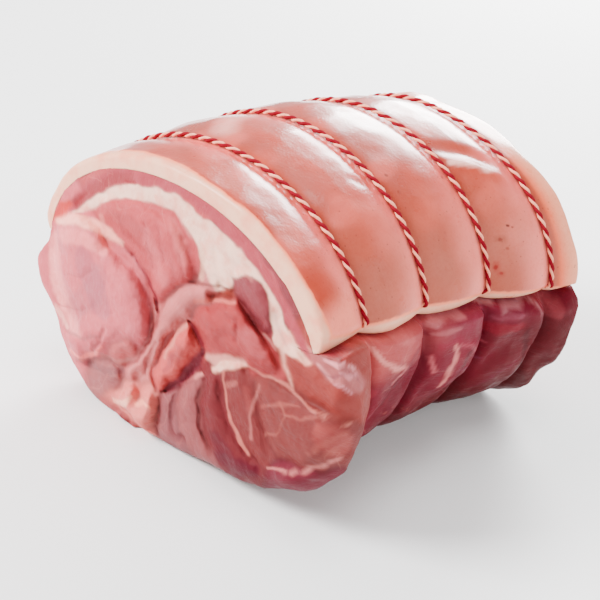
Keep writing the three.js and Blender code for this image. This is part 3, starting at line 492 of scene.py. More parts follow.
def lean_swell(x, angle):
    """How far the bare lean swells out between the rings and flares at the near face."""
    gap = beside_loop(x)
    down = np.maximum(0, -np.sin(angle * degrees))
    segment = np.searchsorted(LOOP_X, x, "left")
    full = (FLANK_SWELL + UNDERSIDE_SWELL * down * down) * SEGMENT_SWELL[segment]
    clear = smoothstep(0, FLARE_BLEND, below_cap(x, angle))
    side = mix(BACK_FLARE, FRONT_FLARE, smoothstep(250, 300, angle)) * clear * (1 - down**6)
    raised = smoothstep(BASE_LIFT["start"], BASE_LIFT["full"], angle)
    raised = raised - smoothstep(BASE_LIFT["until"], BASE_LIFT["gone"], angle)
    bulge = BASE_BULGE["height"] * np.exp(-(((angle - BASE_BULGE["angle"]) / BASE_BULGE["width"]) ** 2))
    flare = (side + bulge - BASE_LIFT["height"] * raised) * np.exp(-x / FLARE_REACH)
    wavy = FLANK_SEAM["wander"] * np.sin(x / FLANK_SEAM["wavelength"])
    across = (above_level(angle) - FLANK_SEAM["angle"] + wavy) / FLANK_SEAM["width"]
    seam = FLANK_SEAM["depth"] * np.exp(-across * across) * np.minimum(1, gap / FLANK_SEAM["fade"])
    round_off = np.maximum(0, 1 - gap / 17) ** 2
    return full * (1 - np.exp(-gap / LEAN_SOFTNESS)) * (1 - 0.25 * round_off) + flare - seam


def section(x, angle, out):
    """Points on the tied section, moved outwards by out: y, z and the outward direction."""
    x, angle, out = np.broadcast_arrays(*(np.asarray(value, float) for value in (x, angle, out)))
    c, s = np.cos(angle * degrees), np.sin(angle * degrees)
    half_width = np.where(c > 0, along_roll(x, "front"), along_roll(x, "back"))
    half_height = np.where(s > 0, along_roll(x, "top") - CENTRE_Z, CENTRE_Z - TIED_BASE_Z)
    n = np.where(s > 0, along_roll(x, "upper"), along_roll(x, "lower"))
    ny = -power(c, 2 - 2 / n) / half_width
    nz = power(s, 2 - 2 / n) / half_height
    length = np.hypot(ny, nz)
    ny, nz = ny / length, nz / length
    y = along_roll(x, "shift") - half_width * power(c, 2 / n) + ny * out
    z = CENTRE_Z + half_height * power(s, 2 / n) + nz * out
    lift = np.maximum(0, z + FLOOR_SOFTNESS)
    z = np.where(z > FLOOR_SOFTNESS, z, lift * lift / (4 * FLOOR_SOFTNESS))
    return y, z, ny, nz


def cap_thickness(angle):
    return CAP_THICKNESS + CAP_EXTRA_ON_FLANK * np.cos(angle * degrees)


def chain_distance(chain, y, z):
    """Signed distance to a tapering chain, negative inside it."""
    best = np.full(np.shape(y), 1e9)
    for (ay, az, ar), (by, bz, br) in zip(chain, chain[1:]):
        dy, dz = by - ay, bz - az
        t = np.clip(((y - ay) * dy + (z - az) * dz) / (dy * dy + dz * dz), 0, 1)
        best = np.minimum(best, np.hypot(y - ay - t * dy, z - az - t * dz) - mix(ar, br, t))
    return best


def unroll(chain):
    """A chain given in x and degrees, in millimetres both ways, with no width where it has none."""
    return [(x, MM_PER_DEGREE * angle, *(width or [0.0])) for x, angle, *width in chain]


def muscles_at(y, z):
    """The signed distance to each muscle, to the nearest one, and to the seam with the next one."""
    distances = np.stack([chain_distance(chain, y, z) for *_, chain in MUSCLES])
    nearest = distances.min(0)
    return distances, nearest, (np.sort(distances, axis=0)[1] - nearest) / 2


def relief_at(y, z):
    """How far the cut face stands out: each muscle is a dome with a seam round it."""
    distances, nearest, edge = muscles_at(y, z)
    share = np.exp(-(distances - nearest) / BLEND_WIDTH)
    rise, seam = (np.array([muscle[k] for muscle in MUSCLES])[:, None] for k in (1, 2))
    total = share.sum(0)
    height = (share * rise * (1 - np.exp(-np.maximum(0, -distances) / DOME_WIDTH))).sum(0) / total
    edge = edge / SEAM_WIDTH
    groove = (share * seam).sum(0) / total * np.exp(-edge * edge) * smoothstep(3, 0, nearest)
    return height - groove


def soft_relief(y, z):
    """The relief's mean over a small circle."""
    total = relief_at(y, z)
    for k in range(6):
        total = total + relief_at(y + 1.6 * math.cos(k), z + 1.6 * math.sin(k))
    return total / 7


def wobble(points, size, cell, seed):
    """Smooth pseudo-random shifts, one for each point, of about that size over cells of that width."""
    offset = Vector((seed * 17.3, seed * 5.1, seed * 9.7))
    return size * np.array([noise.noise(Vector(p) / cell + offset) for p in points])


def wander(y, z):
    """Moves places on the face a little, so that no seam or edge runs too evenly."""
    places = np.stack([y, z, np.zeros_like(y)], -1)
    y = y + wobble(places, 1.1, 6.0, 1) + wobble(places, 0.25, 2.0, 2)
    return y, z + wobble(places, 1.1, 6.0, 3) + wobble(places, 0.25, 2.0, 4)


def face_relief(y, z, lean):
    """The near face's height. Where lean is 1 the face is raised along the line of sight, so each place
    keeps to its own line, and where lean is 0 straight along X, with the line found in a few steps."""
    height = np.zeros(np.shape(y))
    steps = 1 if np.min(lean) == 1 else 4
    for _ in range(steps):
        off = height * (1 - lean) + SIGHT_PLANE_X
        sight_y, sight_z = wander(y + SIGHT_SLOPE_Y * off, z + SIGHT_SLOPE_Z * off)
        target = soft_relief(sight_y, sight_z)
        hollow = chain_distance(HOLLOW["chain"], sight_y, sight_z) / HOLLOW["width"]
        target = target - HOLLOW["depth"] * np.exp(-hollow * hollow)
        for _, _, relief, chain in MARKS_WITH_PAINTED_SHADE_AND_LIGHT:
            if relief:
                target = target + relief * smoothstep(1.6, -0.5, chain_distance(chain, sight_y, sight_z))
        height = target if steps == 1 else mix(height, target, 0.7)
    return height


def raise_face(y, z, reach):
    """Points of the near face: reach is 0 in its middle and 1 at its rim."""
    lean = 1 - smoothstep(0.86, 1, reach)
    height = face_relief(y, z, lean)
    return -height, y - SIGHT_SLOPE_Y * height * lean, z - SIGHT_SLOPE_Z * height * lean


def paint_face(points):
    """Colour, fat, marbling, fibre direction and calm places of the lean, from the muscles and marks, with
    the painted shade and light among the marks and painted shade along the seams.
    """
    depth = points[:, 0] - SIGHT_PLANE_X
    y, z = wander(points[:, 1] - SIGHT_SLOPE_Y * depth, points[:, 2] - SIGHT_SLOPE_Z * depth)
    distances, nearest, edge = muscles_at(y, z)
    share = np.exp(-(distances - nearest) / COLOUR_BLEND_WIDTH)
    share /= share.sum(0)
    tint = share.T @ np.stack([linear(muscle[3]) for muscle in MUSCLES])
    # Painted shade along the seams between the muscles
    tint = tint * (1 - SEAM_SHADE * np.exp(-((edge / SEAM_SHADE_WIDTH) ** 2)))[:, None]
    fat = np.zeros(len(points))
    for colour, strength, _, chain in MARKS_WITH_PAINTED_SHADE_AND_LIGHT:
        is_fat = colour in (FAT, CREAM)
        soft = 2.0 if is_fat or chain[1][2] >= 2 else 1.0
        amount = strength * smoothstep(0.7 * soft, -0.6 * soft, chain_distance(chain, y, z))
        tint = mix(tint, linear(colour), amount[:, None])
        fat = mix(fat, float(is_fat), amount)
    fibre = np.zeros((len(points), 3))
    which = distances.argmin(0)
    for k, (name, *_, chain) in enumerate(MUSCLES):
        (first_y, first_z, _), (last_y, last_z, _) = chain[0], chain[-1]
        dy, dz = FIBRES.get(name, (last_y - first_y, last_z - first_z))
        here = which == k
        off_y, off_z = y[here] - first_y, z[here] - first_z
        across = (-off_y * dz + off_z * dy) / math.hypot(dy, dz)
        run = (off_y * dy + off_z * dz) / math.hypot(dy, dz)
        fibre[here] = np.stack([across * 0.75, run * 0.11, np.full(here.sum(), 7.0 * k)], -1)
    return {"tint": tint, "fat": fat, "marbling": share.T @ np.array([muscle[4] for muscle in MUSCLES]),
            "fibre": fibre, "calm": smoothstep(0.4, 1.8, edge)}


def along_flank(x, height):
    """The flank's colour along X at one of the three heights, which holds painted shade as well as the meat's
    colour.
    """
    colours = np.array([linear(colour, FLANK_LIGHT) for colour in FLANK_TINTS[height]])
    return np.stack([np.interp(x, FLANK_TINTS["x"], colours[:, k]) for k in range(3)], -1)


def paint_flank(points, angle):
    """The same for the lean round the side, which darkens towards the far end and the floor, partly its own
    colour and partly painted shade.
    """
    x = points[:, 0] + wobble(points, 2.0, 9.0, 5)
    level = above_level(angle) + wobble(points, 2.5, 12.0, 6)
    tint = mix(along_flank(x, "upper"), along_flank(x, "lower"), smoothstep(2, -7, level)[:, None])
    tint = mix(tint, along_flank(x, "bottom"), smoothstep(-17, -42, level)[:, None])
    patches = smoothstep(-0.25, 0.35, wobble(points, 1.0, 22.0, 7))[:, None]
    tint = mix(tint, tint * np.array([1.12, 1.16, 1.14]), patches)
    # The marks are milder on the hidden back flank
    side = np.where(angle > 270, 1.0, 0.75)
    for colour, strength, chain in FLANK_MARKS_AND_PAINTED_SHADE:
        distance = chain_distance(unroll(chain), x, MM_PER_DEGREE * level)
        amount = strength * side * smoothstep(0.7, -0.5, distance)
        tint = mix(tint, linear(colour, FLANK_LIGHT), amount[:, None])
    fibre = np.stack([MM_PER_DEGREE * level * 0.6 + 0.12 * x, x * 0.09, np.searchsorted(LOOP_X, x) * 9.0], -1)
    return {"tint": tint, "fat": np.zeros(len(points)), "marbling": 0.4 - 0.35 * smoothstep(50, 120, x),
            "fibre": fibre, "calm": smoothstep(0, 2.5, loop_distance(points[:, 0]))}


def wave_at(x, angle):
    """How far the far end, which isn't cut quite straight, waves along X."""
    wave = np.cos((angle - END_WAVE["first"]) * degrees * END_WAVE["lobes"])
    return END_WAVE["size"] * wave * smoothstep(LOOP_X[-1], FAR_X, x)


def row_positions():
    """Rows along the roll, closer together beside each ring of twine."""
    steps = [0, 0.7, 1.3, 1.9, 2.6, 3.5, 4.6, 6.0, 7.6, 9.4, 11.4, 13.6, 15.8, 17.5]
    rows = {0.0}
    for k, loop in enumerate(LOOP_X):
        for step in steps:
            rows.update((loop - step, loop + step))
        if k:
            rows.add((LOOP_X[k - 1] + loop) / 2)
    return np.array(sorted(r for r in rows if 13 <= r <= FAR_X - 6))


def new_piece(name, points, faces, attributes, material, nodes):
    """A smooth mesh from points in the roll's frame, with its attributes, material and place in the part."""
    mesh = bpy.data.meshes.new(name)
    placed = (np.asarray(points) + ROLL_TO_PART) * METRES
    mesh.from_pydata(placed.tolist(), [], faces)
    mesh.polygons.foreach_set("use_smooth", [True] * len(mesh.polygons))
    for key, values in attributes.items():
        kind, field = "FLOAT_VECTOR", "vector"
        if values.ndim == 1:
            kind, field = "FLOAT", "value"
        elif key == "tint":
            kind, field = "FLOAT_COLOR", "color"
            values = np.concatenate([values, np.ones((len(values), 1))], 1)
        mesh.attributes.new(key, kind, "POINT").data.foreach_set(field, values.ravel())
    mesh.update()
    piece = bpy.data.objects.new(name, mesh)
    bpy.context.scene.collection.objects.link(piece)
    mesh.materials.append(material)
    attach(piece, "root")
    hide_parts(*nodes)
    return piece


def join_rings(faces, outer, inner, near):
    """Triangles between two rings that differ in their number of points."""
    i = j = 0
    n, m = len(outer), len(inner) if len(inner) > 1 else 0
    while i < n or j < m:
        a, b = outer[i % n], inner[j % len(inner)]
        if j >= m or (i < n and (i + 1) * m <= (j + 1) * n):
            i += 1
            c = outer[i % n]
        else:
            j += 1
            c = inner[j % len(inner)]
        faces.append((b, a, c) if near else (a, b, c))


def grid_faces(rows, columns, closed_rows=False, closed_columns=False):
    """Four-sided faces between the neighbouring points of a grid, which are numbered row by row."""
    faces = []
    for row in range(rows if closed_rows else rows - 1):
        a, b = row * columns, (row + 1) % rows * columns
        for i in range(columns if closed_columns else columns - 1):
            j = (i + 1) % columns
            faces.append((a + i, b + i, b + j, a + j))
    return faces


def build_meat(material):
    cap_columns, lean_columns, edge_steps = 84, 250, 9
    near_rings, far_rings = 118, 70
    count = cap_columns + lean_columns
    covered = np.arange(count) < cap_columns
    # The share of the way round the cap, and then round the bare lean
    along = np.concatenate([np.arange(cap_columns) / cap_columns, np.arange(lean_columns) / lean_columns])

    def angles(x):
        front, back = fat_edge(x), back_fat_edge(x)
        return np.where(covered, mix(front, back, along), mix(back, front + 360, along))

    def side_points(x, inset):
        """A ring of points round the side, moved inwards by inset. x may differ from column to column."""
        angle = angles(x)
        under = rind_swell(x, angle) - cap_thickness(angle) - CAP_GAP
        below = below_cap(x, angle)
        inner = smoothstep(14, 30, x)
        at_end = smoothstep(138, 150, x)
        # The lean starts under the lip of fat, stands back from it and comes out again below it
        recess = mix(0.6, 1.6, inner) * (1 - 0.8 * at_end)
        open_out = lean_swell(x, angle) - recess * np.exp(-np.maximum(0, below) / 7)
        tuck = np.where(angle > 270, mix(2.0, 3.5, inner) - 1.5 * at_end, mix(9.0, 4.5, inner))
        out = np.where(covered, under, mix(under, open_out, smoothstep(-0.5, tuck, below)))
        y, z, _, _ = section(x, angle, out - inset)
        return angle, y, z

    def rounding(x, size):
        blend = smoothstep(0, ROUNDING_BLEND, below_cap(x, angles(x)))
        return np.where(covered, CAP_SIDE_ROUNDING, mix(CAP_SIDE_ROUNDING, size, blend))

    near, far = rounding(0.0, NEAR_ROUNDING), rounding(FAR_X, FAR_ROUNDING)
    rows = []
    for k in range(edge_steps):
        turn = k / edge_steps * math.pi / 2
        angle, y, z = side_points(near, near * (1 - math.sin(turn)))
        relief = face_relief(y, z, np.zeros(count)) * math.cos(turn)
        rows.append((near * (1 - math.cos(turn)) - relief, y, z, angle))
    middle = row_positions()
    places = [(mix(near, middle[0], t), 0.0) for t in np.arange(8) / 8]
    places += [(np.full(count, x), 0.0) for x in middle]
    places += [(mix(middle[-1], FAR_X - far, t), 0.0) for t in np.arange(1, 7) / 6]
    for turn in np.arange(1, 5) / 4 * math.pi / 2:
        places.append((FAR_X - far * (1 - math.sin(turn)), far * (1 - math.cos(turn))))
    for x, inset in places:
        angle, y, z = side_points(x, inset)
        rows.append((x + wave_at(x, angle), y, z, angle))
    rings = [np.stack(row[:3], -1) for row in rows]
    side_angle = np.concatenate([row[3] for row in rows])
    faces = grid_faces(len(rows), count, closed_columns=True)
    points = list(np.concatenate(rings))
    side_total = len(points)

    def fill(rim, first, steps, near_side):
        """Rings from the rim to the middle of a face, the inner ones after a smoothed rim."""
        outer = list(range(first, first + count))
        soft_rim = sum(np.roll(rim, shift, 0) for shift in range(-8, 9)) / 17
        for ring in range(steps - 1, -1, -1):
            number = max(1, ring * 6)
            place = np.arange(number) / number * count
            k = place.astype(int) % count
            t = (place - place.astype(int))[:, None]
            reach = ring / steps
            shape = mix(soft_rim, rim, smoothstep(0.7, 1, reach))
            edge = mix(shape[k], shape[(k + 1) % count], t)
            y = mix(FACE_CENTRE[0], edge[:, 1], reach)
            z = mix(FACE_CENTRE[1], edge[:, 2], reach)
            if near_side:
                x, y, z = raise_face(y, z, reach)
            else:
                x = mix(FAR_X, edge[:, 0], reach**2) + FAR_RELIEF * soft_relief(y, z) * (1 - reach**6)
            inner = list(range(len(points), len(points) + number))
            points.extend(np.stack([x, y, z], -1))
            join_rings(faces, outer, inner, near_side)
            outer = inner

    fill(rings[0], 0, near_rings, True)
    near_total = len(points)
    fill(rings[-1], side_total - count, far_rings, False)
    points = np.array(points)

    paint = paint_face(points)
    side = points[:side_total]
    # The side takes over from the face's colours behind the rounded edge, and the fibres with a jump
    behind = smoothstep(19, 27, side[:, 0])
    for name, flank in paint_flank(side, side_angle).items():
        face = paint[name][:side_total]
        blend = behind if face.ndim == 1 else behind[:, None]
        face[:] = mix(face, flank, blend > 0.5 if name == "fibre" else blend)
    paint["calm"][:side_total] *= smoothstep(0, 2, np.abs(side[:, 0] - 23))
    # The far face shows the same muscles from their other end
    mirrored = points[near_total:] * np.array([0, 1, 1])
    for name, values in paint_face(mirrored).items():
        paint[name][near_total:] = values

    # Small unevenness all over, but not on the flats that the joint rests on
    rough = (wobble(points, 0.5, 7.0, 8) + wobble(points, 0.2, 2.4, 9)) * smoothstep(1.0, 8.0, points[:, 2])
    piece = new_piece("lean_meat", points, faces, paint, material, ["meat"])
    move_along_normals(piece.data, rough)


def move_along_normals(mesh, distance):
    """Moves each point along its normal by that many millimetres."""
    places, normals = np.empty((2, 3 * len(mesh.vertices)))
    mesh.vertices.foreach_get("co", places)
    mesh.vertices.foreach_get("normal", normals)
    mesh.vertices.foreach_set("co", places + normals * np.repeat(distance, 3) * METRES)
    mesh.update()


def build_cap(material):
    lip_steps, main_steps, layers = 9, 156, 9
    lip = np.arange(lip_steps) / lip_steps
    count = 2 * lip_steps + main_steps + 1
    # The share of the full thickness, which falls off towards the lower edges
    from_edge = np.concatenate([lip, np.ones(main_steps + 1), lip[::-1]])
    share = 0.55 + 0.71 * from_edge - 0.26 * from_edge**2
    ends = [0.0, 0.12, 0.45, 1.0, 1.8, 2.9, 4.2, 6.0, 8.0, 10.2]
    between = [x for x in row_positions() if x < FAR_X - ends[-1] - 1]
    xs = np.array(ends + between + [FAR_X - e for e in ends[::-1]])
    corner = np.interp(np.minimum(xs, FAR_X - xs), ends[:7], [2.0, 1.55, 1.0, 0.55, 0.22, 0.05, 0.0])
    rows = []

    def put(x, round_off, layer, shaped=True):
        """A row of points. layer is 0 on the rind and 1 on the underside of the fat."""
        angle = np.concatenate([mix(fat_edge(x), rind_edge(x), lip),
                                mix(rind_edge(x), back_rind_edge(x), np.arange(main_steps + 1) / main_steps),
                                mix(back_fat_edge(x), back_rind_edge(x), lip)[::-1]])
        along = np.full(count, x)
        thickness = cap_thickness(angle)
        outer = thickness * (share - 1) - round_off
        if shaped:
            outer = outer + rind_form(along, angle)
        y, z, _, _ = section(x, angle, rind_swell(along, angle) + mix(outer, -thickness, layer))
        points = np.stack([x + wave_at(x, angle), y, z], -1)
        # How deep the place is under the rind, where the rind's colour also gives way beside a cut
        past = np.maximum(rind_edge(x) - angle, angle - back_rind_edge(x)) * MM_PER_DEGREE
        fade_width = 3 + 4 * smoothstep(35, 22, angle) + 3 * smoothstep(80, 100, angle)
        beside_cut = np.stack([np.ones(count), MM_PER_DEGREE * angle, np.zeros(count)], -1)
        fade = 3.6 * smoothstep(fade_width, 0.3, x + wobble(beside_cut, 0.9, 9.0, 18))
        rows.append((points, np.maximum(layer * thickness + np.maximum(0, past), fade), angle, along))

    for k in range(layers, 0, -1):
        put(0.0, corner[0], k / layers)
    for x, round_off in zip(xs, corner):
        put(x, round_off, 0.0)
    for k in range(1, layers + 1):
        put(FAR_X, corner[-1], k / layers)
    for x in xs[-2:0:-1]:
        put(x, 0.0, 1.0, False)
    total, last = len(rows), count - 1
    faces = grid_faces(total, count, closed_rows=True)
    # The lips close the open edges along the roll, and one face closes each of their four ends
    far_row = layers + len(xs) - 1
    inner_rows = [0] + [total - k for k in range(1, len(xs) - 1)] + [far_row + layers]
    for k in range(len(xs) - 1):
        o1, o2 = (layers + k) * count, (layers + k + 1) * count
        i1, i2 = inner_rows[k] * count, inner_rows[k + 1] * count
        faces.append((i1, i2, o2, o1))
        faces.append((o1 + last, o2 + last, i2 + last, i1 + last))
    for first in (0, far_row):
        ring = [(first + k) * count for k in range(layers + 1)]
        faces.append(tuple(ring))
        faces.append(tuple(point + last for point in ring[::-1]))
    points, depth, angle, x = (np.concatenate(column) for column in zip(*rows))
    around = MM_PER_DEGREE * angle
    # The wet shine on the upper side, away from the twine, the near cut and the pale fold
    gloss = smoothstep(30, 75, angle) * smoothstep(2.0, 6.5, loop_distance(x))
    folded = chain_distance(unroll(RIND_FOLDS[1][2]), x, around)
    gloss = gloss * mix(0.25, 1.0, smoothstep(2, 8, folded)) * mix(0.15, 1.0, smoothstep(1, 7, x))
    paint = {"tint": paint_rind(points, x, angle), "depth": depth, "gloss": gloss,
             "unrolled": np.stack([x, around, depth], -1)}
    new_piece("fat_and_rind", points, faces, paint, material, ["fat_cap"])


def rind_form(x, angle):
    """How far folds, dents and puckers move the rind outwards."""
    gap = beside_loop(x)
    free = 1 - np.exp(-gap / 3.0)
    around = MM_PER_DEGREE * angle
    flat = np.zeros_like(x)
    places = np.stack([x, around, flat], -1)
    form = wobble(places, 0.9, 24.0, 11) + wobble(places, 0.35, 8.0, 12)
    puckers = wobble(np.stack([x * 0.35, around, flat], -1), 0.05, 5.5, 13) * np.exp(-gap / 5.0)
    form = (form + puckers) * free
    for depth, width, chain in RIND_FOLDS:
        distance = chain_distance(unroll(chain), x, around) / width
        form = form - depth * np.exp(-distance * distance) * free
    return form


def paint_rind(points, x, angle):
    """The rind's colour: tan just past each ring of twine, pale and pink before the next one, where the
    paleness is a painted highlight.
    """
    edges = np.concatenate([[-10.0], LOOP_X, [FAR_X + 12]])
    k = np.clip(np.searchsorted(edges, x, "right"), 1, len(edges) - 1)
    share = (x - edges[k - 1]) / (edges[k] - edges[k - 1]) + wobble(points, 0.16, 16.0, 14)
    tint = np.tile(linear((205, 120, 100), RIND_LIGHT), (len(points), 1))
    # The pale pink towards the next ring is a painted highlight; the other colours are the rind's own tan and
    # its patchy tone
    for colour, amount in (
            ((216, 130, 110), smoothstep(0.1, 0.5, share)),
            ((232, 160, 150), smoothstep(0.55, 0.95, share)),
            ((232, 164, 150), 0.45 * smoothstep(0.0, 0.5, wobble(points, 1.0, 14.0, 15))),
            ((206, 104, 76), 0.4 * smoothstep(0.1, 0.5, wobble(points, 1.0, 11.0, 19)))):
        tint = mix(tint, linear(colour, RIND_LIGHT), amount[:, None])
    # Duller and then paler low on the flank, before the first ring and past the last one. This is painted
    # light: lighter paint where the lamps leave the rind in shade, with a painted highlight again towards
    # each next ring and painted back light on the far end.
    low = smoothstep(60, 25, angle) * smoothstep(8, 25, x)
    low_tint_with_painted_light = mix(linear((198, 134, 116), LOW_RIND_LIGHT), linear((230, 178, 168), LOW_RIND_LIGHT),
                   smoothstep(0.3, 0.95, share)[:, None])
    tint = mix(tint, low_tint_with_painted_light, 0.85 * low[:, None])
    first_low_painted_light = smoothstep(36, 26, angle) * smoothstep(26, 20, x)
    tint = mix(tint, linear((236, 182, 168), LOW_RIND_LIGHT), 0.85 * first_low_painted_light[:, None])
    far = smoothstep(LOOP_X[-1] + 2, FAR_X - 3, x)[:, None]
    far_painted_light = mix(linear((232, 138, 98), LOW_RIND_LIGHT), linear((255, 216, 198), LOW_RIND_LIGHT), far)
    tint = mix(tint, far_painted_light, 0.85 * smoothstep(0, 0.35, far))
    for colour, strength, width, chain in RIND_PATCHES_AND_HIGHLIGHTS:
        distance = chain_distance(unroll(chain), x, MM_PER_DEGREE * angle) + wobble(points, 1.5, 4.0, 16)
        tint = mix(tint, linear(colour, RIND_LIGHT), (strength * smoothstep(width, 0, distance))[:, None])
    return tint


def twine_line(loop, angle):
    """The centre line of a ring: on the rind, and sunk between the pillows of the lean."""
    front_edge = fat_edge(loop)
    front_band = (rind_edge(loop) - angle) / (rind_edge(loop) - front_edge)
    back_band = (angle - back_rind_edge(loop)) / (back_fat_edge(loop) - back_rind_edge(loop))
    in_fat = smoothstep(-0.1, 1.0, np.where(angle > 270, 1.0, np.maximum(front_band, back_band)))
    below = np.maximum(0, np.where(angle < front_edge, front_edge - angle, below_cap(loop, angle)))
    under = smoothstep(218, 238, angle) - smoothstep(292, 312, angle)
    # Sunk in the creases of both flanks, deepest beside the cap, and up again under the joint
    hidden = mix(-2.6 - 7.4 * np.exp(-below / 4), -0.35, under)
    lift = mix(TWINE_RADIUS + TWINE_GAP, hidden, in_fat)
    y, z, ny, nz = section(loop, angle, lift)
    z = np.maximum(z, TWINE_RADIUS + 0.4)
    return np.stack([np.full_like(y, loop), y, z], -1), np.stack([np.zeros_like(y), ny, nz], -1)


def add_plies(line, normal, closed, store, start=0.0):
    """Two twisted plies round a centre line, one red and one white."""
    ahead = np.roll(line, -1, 0) - np.roll(line, 1, 0) if closed else np.gradient(line, axis=0)
    tangent = ahead / np.linalg.norm(ahead, axis=1, keepdims=True)
    normal = normal - tangent * (normal * tangent).sum(1, keepdims=True)
    normal /= np.linalg.norm(normal, axis=1, keepdims=True)
    aside = np.cross(tangent, normal)
    steps = np.linalg.norm(np.diff(line, axis=0, append=line[:1] if closed else line[-1:]), axis=1)
    run = np.concatenate([[0], np.cumsum(steps)[:-1]])
    turns = max(1, round(steps.sum() / PLY_PITCH)) if closed else steps.sum() / PLY_PITCH
    phase = start - 2 * math.pi * turns * run / steps.sum()
    quads = grid_faces(len(line), PLY_SIDES, closed, True)

    def outwards(turn):
        return normal * np.cos(turn)[:, None] + aside * np.sin(turn)[:, None]

    for ply, radius in enumerate(PLY_RADII):
        turn = phase + ply * math.pi
        centre = line + PLY_OFFSET * outwards(turn)
        size = radius * (1 + 0.05 * np.sin(run * 2.1 + ply))
        sides = [centre + size[:, None] * outwards(2 * math.pi * side / PLY_SIDES + turn)
                 for side in range(PLY_SIDES)]
        first = len(store["points"])
        store["points"].extend(np.stack(sides, 1).reshape(-1, 3))
        store["ply"].extend([float(ply)] * len(line) * PLY_SIDES)
        strand = np.broadcast_arrays(run[:, None], 0.6 * np.arange(PLY_SIDES)[None], np.float64(ply))
        store["strand"].extend(np.stack(strand, -1).reshape(-1, 3))
        store["faces"] += [(first + a, first + d, first + c, first + b) for a, b, c, d in quads]
        if not closed:
            end = len(store["points"])
            store["faces"].append(tuple(range(first + PLY_SIDES - 1, first - 1, -1)))
            store["faces"].append(tuple(range(end - PLY_SIDES, end)))


def build_twine(index, material):
    loop = LOOP_X[index]
    store = {"points": [], "faces": [], "ply": [], "strand": []}
    line, normal = twine_line(loop, np.linspace(0, 360, 1100, endpoint=False))
    add_plies(line, normal, True, store)
    # The knot: an overhand wrap pulled tight, and two cut ends that lie on the rind
    y, z, ny, nz = section(loop, KNOT_ANGLE, TWINE_RADIUS + TWINE_GAP + 0.9)
    centre = np.array([loop, float(y), float(z)])
    out = np.array([0, float(ny), float(nz)])
    along = np.array([1.0, 0, 0])
    across = np.cross(out, along)
    t = np.linspace(0, 2 * math.pi, 90, endpoint=False)
    wide = 1.5 + 0.75 * np.cos(3 * t)
    trefoil = (centre + out * (0.35 + 0.8 * np.sin(3 * t))[:, None] + along * (wide * np.cos(2 * t))[:, None]
               + across * (wide * 1.15 * np.sin(2 * t))[:, None])
    add_plies(trefoil, np.tile(out, (90, 1)) + 0.001, True, store)
    for direction, length, change, bend in CUT_ENDS:
        reach = np.linspace(0, 1, 50)
        x = loop + direction * (length + change * index) * reach
        swing = KNOT_ANGLE + 2 + bend * reach**1.6 + 1.0 * np.sin(5 * reach + index)
        lift = mix(TWINE_RADIUS + 1.9, TWINE_RADIUS + 0.65, smoothstep(0, 0.7, reach))
        y, z, ny, nz = section(x, swing, rind_swell(x, swing) + lift)
        add_plies(np.stack([x, y, z], -1), np.stack([ny * 0, ny, nz], -1), False, store, start=index)
    paint = {"ply": np.array(store["ply"]), "strand": np.array(store["strand"])}
    new_piece(f"twine_ring_{index + 1}", store["points"], store["faces"], paint, material,
              [f"twine_{index + 1}"])


class Shader:
    """Adds and joins the nodes of one material. Any value may be a number, a colour or an output."""

    def __init__(self, name):
        self.material = bpy.data.materials.new(name)
        self.material.use_nodes = True
        self.tree = self.material.node_tree

    def node(self, kind, inputs=None, **settings):
        """Adds a node and returns its outputs."""
        node = self.tree.nodes.new("ShaderNode" + kind)
        for key, value in settings.items():
            setattr(node, key, value)
        for key, value in (inputs or {}).items():
            self.feed(node.inputs[key], value)
        return node.outputs

    def feed(self, socket, value):
        if isinstance(value, bpy.types.NodeSocket):
            self.tree.links.new(value, socket)
        else:
            socket.default_value = value

    def attribute(self, name, output="Fac"):
        return self.node("Attribute", attribute_name=name)[output]

    def math(self, operation, a, b=0.0, c=0.0):
        return self.node("Math", {0: a, 1: b, 2: c}, operation=operation)[0]

    def times(self, a, b):
        return self.math("MULTIPLY", a, b)

    def centred(self, texture):
        return self.math("SUBTRACT", texture, 0.5)

    def vector(self, operation, a, b, output="Vector"):
        return self.node("VectorMath", {0: a, 1: b}, operation=operation)[output]

    def step(self, value, low, high, to_low=0.0, to_high=1.0):
        limits = {"Value": value, "From Min": low, "From Max": high, "To Min": to_low, "To Max": to_high}
        return self.node("MapRange", limits, interpolation_type="SMOOTHSTEP")["Result"]

    def noise(self, vector, scale, detail=3.0, rough=0.55, distortion=0.0, output="Fac"):
        return self.node("TexNoise", {"Vector": vector, "Scale": scale, "Detail": detail, "Roughness": rough,
                                      "Distortion": distortion})[output]

    def mix(self, amount, a, b, blend="MIX"):
        return self.node("Mix", {"Factor": amount, 6: a, 7: b}, data_type="RGBA", blend_type=blend)[2]

    def tone(self, colour, texture, start, full, most, factor):
        """The colour times factor, at most by that share, where the texture goes from start to full."""
        changed = self.mix(1.0, colour, (*factor, 1), "MULTIPLY")
        return self.mix(self.step(texture, start, full, 0.0, most), colour, changed)

    def bump(self, height, distance, strength, normal=None):
        inputs = {"Height": height, "Distance": distance, "Strength": strength}
        if normal is not None:
            inputs["Normal"] = normal
        return self.node("Bump", inputs)["Normal"]

    def place(self):
        return self.node("TexCoord")["Object"]

    def finish(self, **values):
        for key, value in values.items():
            self.feed(self.tree.nodes["Principled BSDF"].inputs[key.replace("_", " ")], value)
        return self.material


def rgba(rgb, level=FACE_LIGHT):
    return (*linear(rgb, level), 1.0)


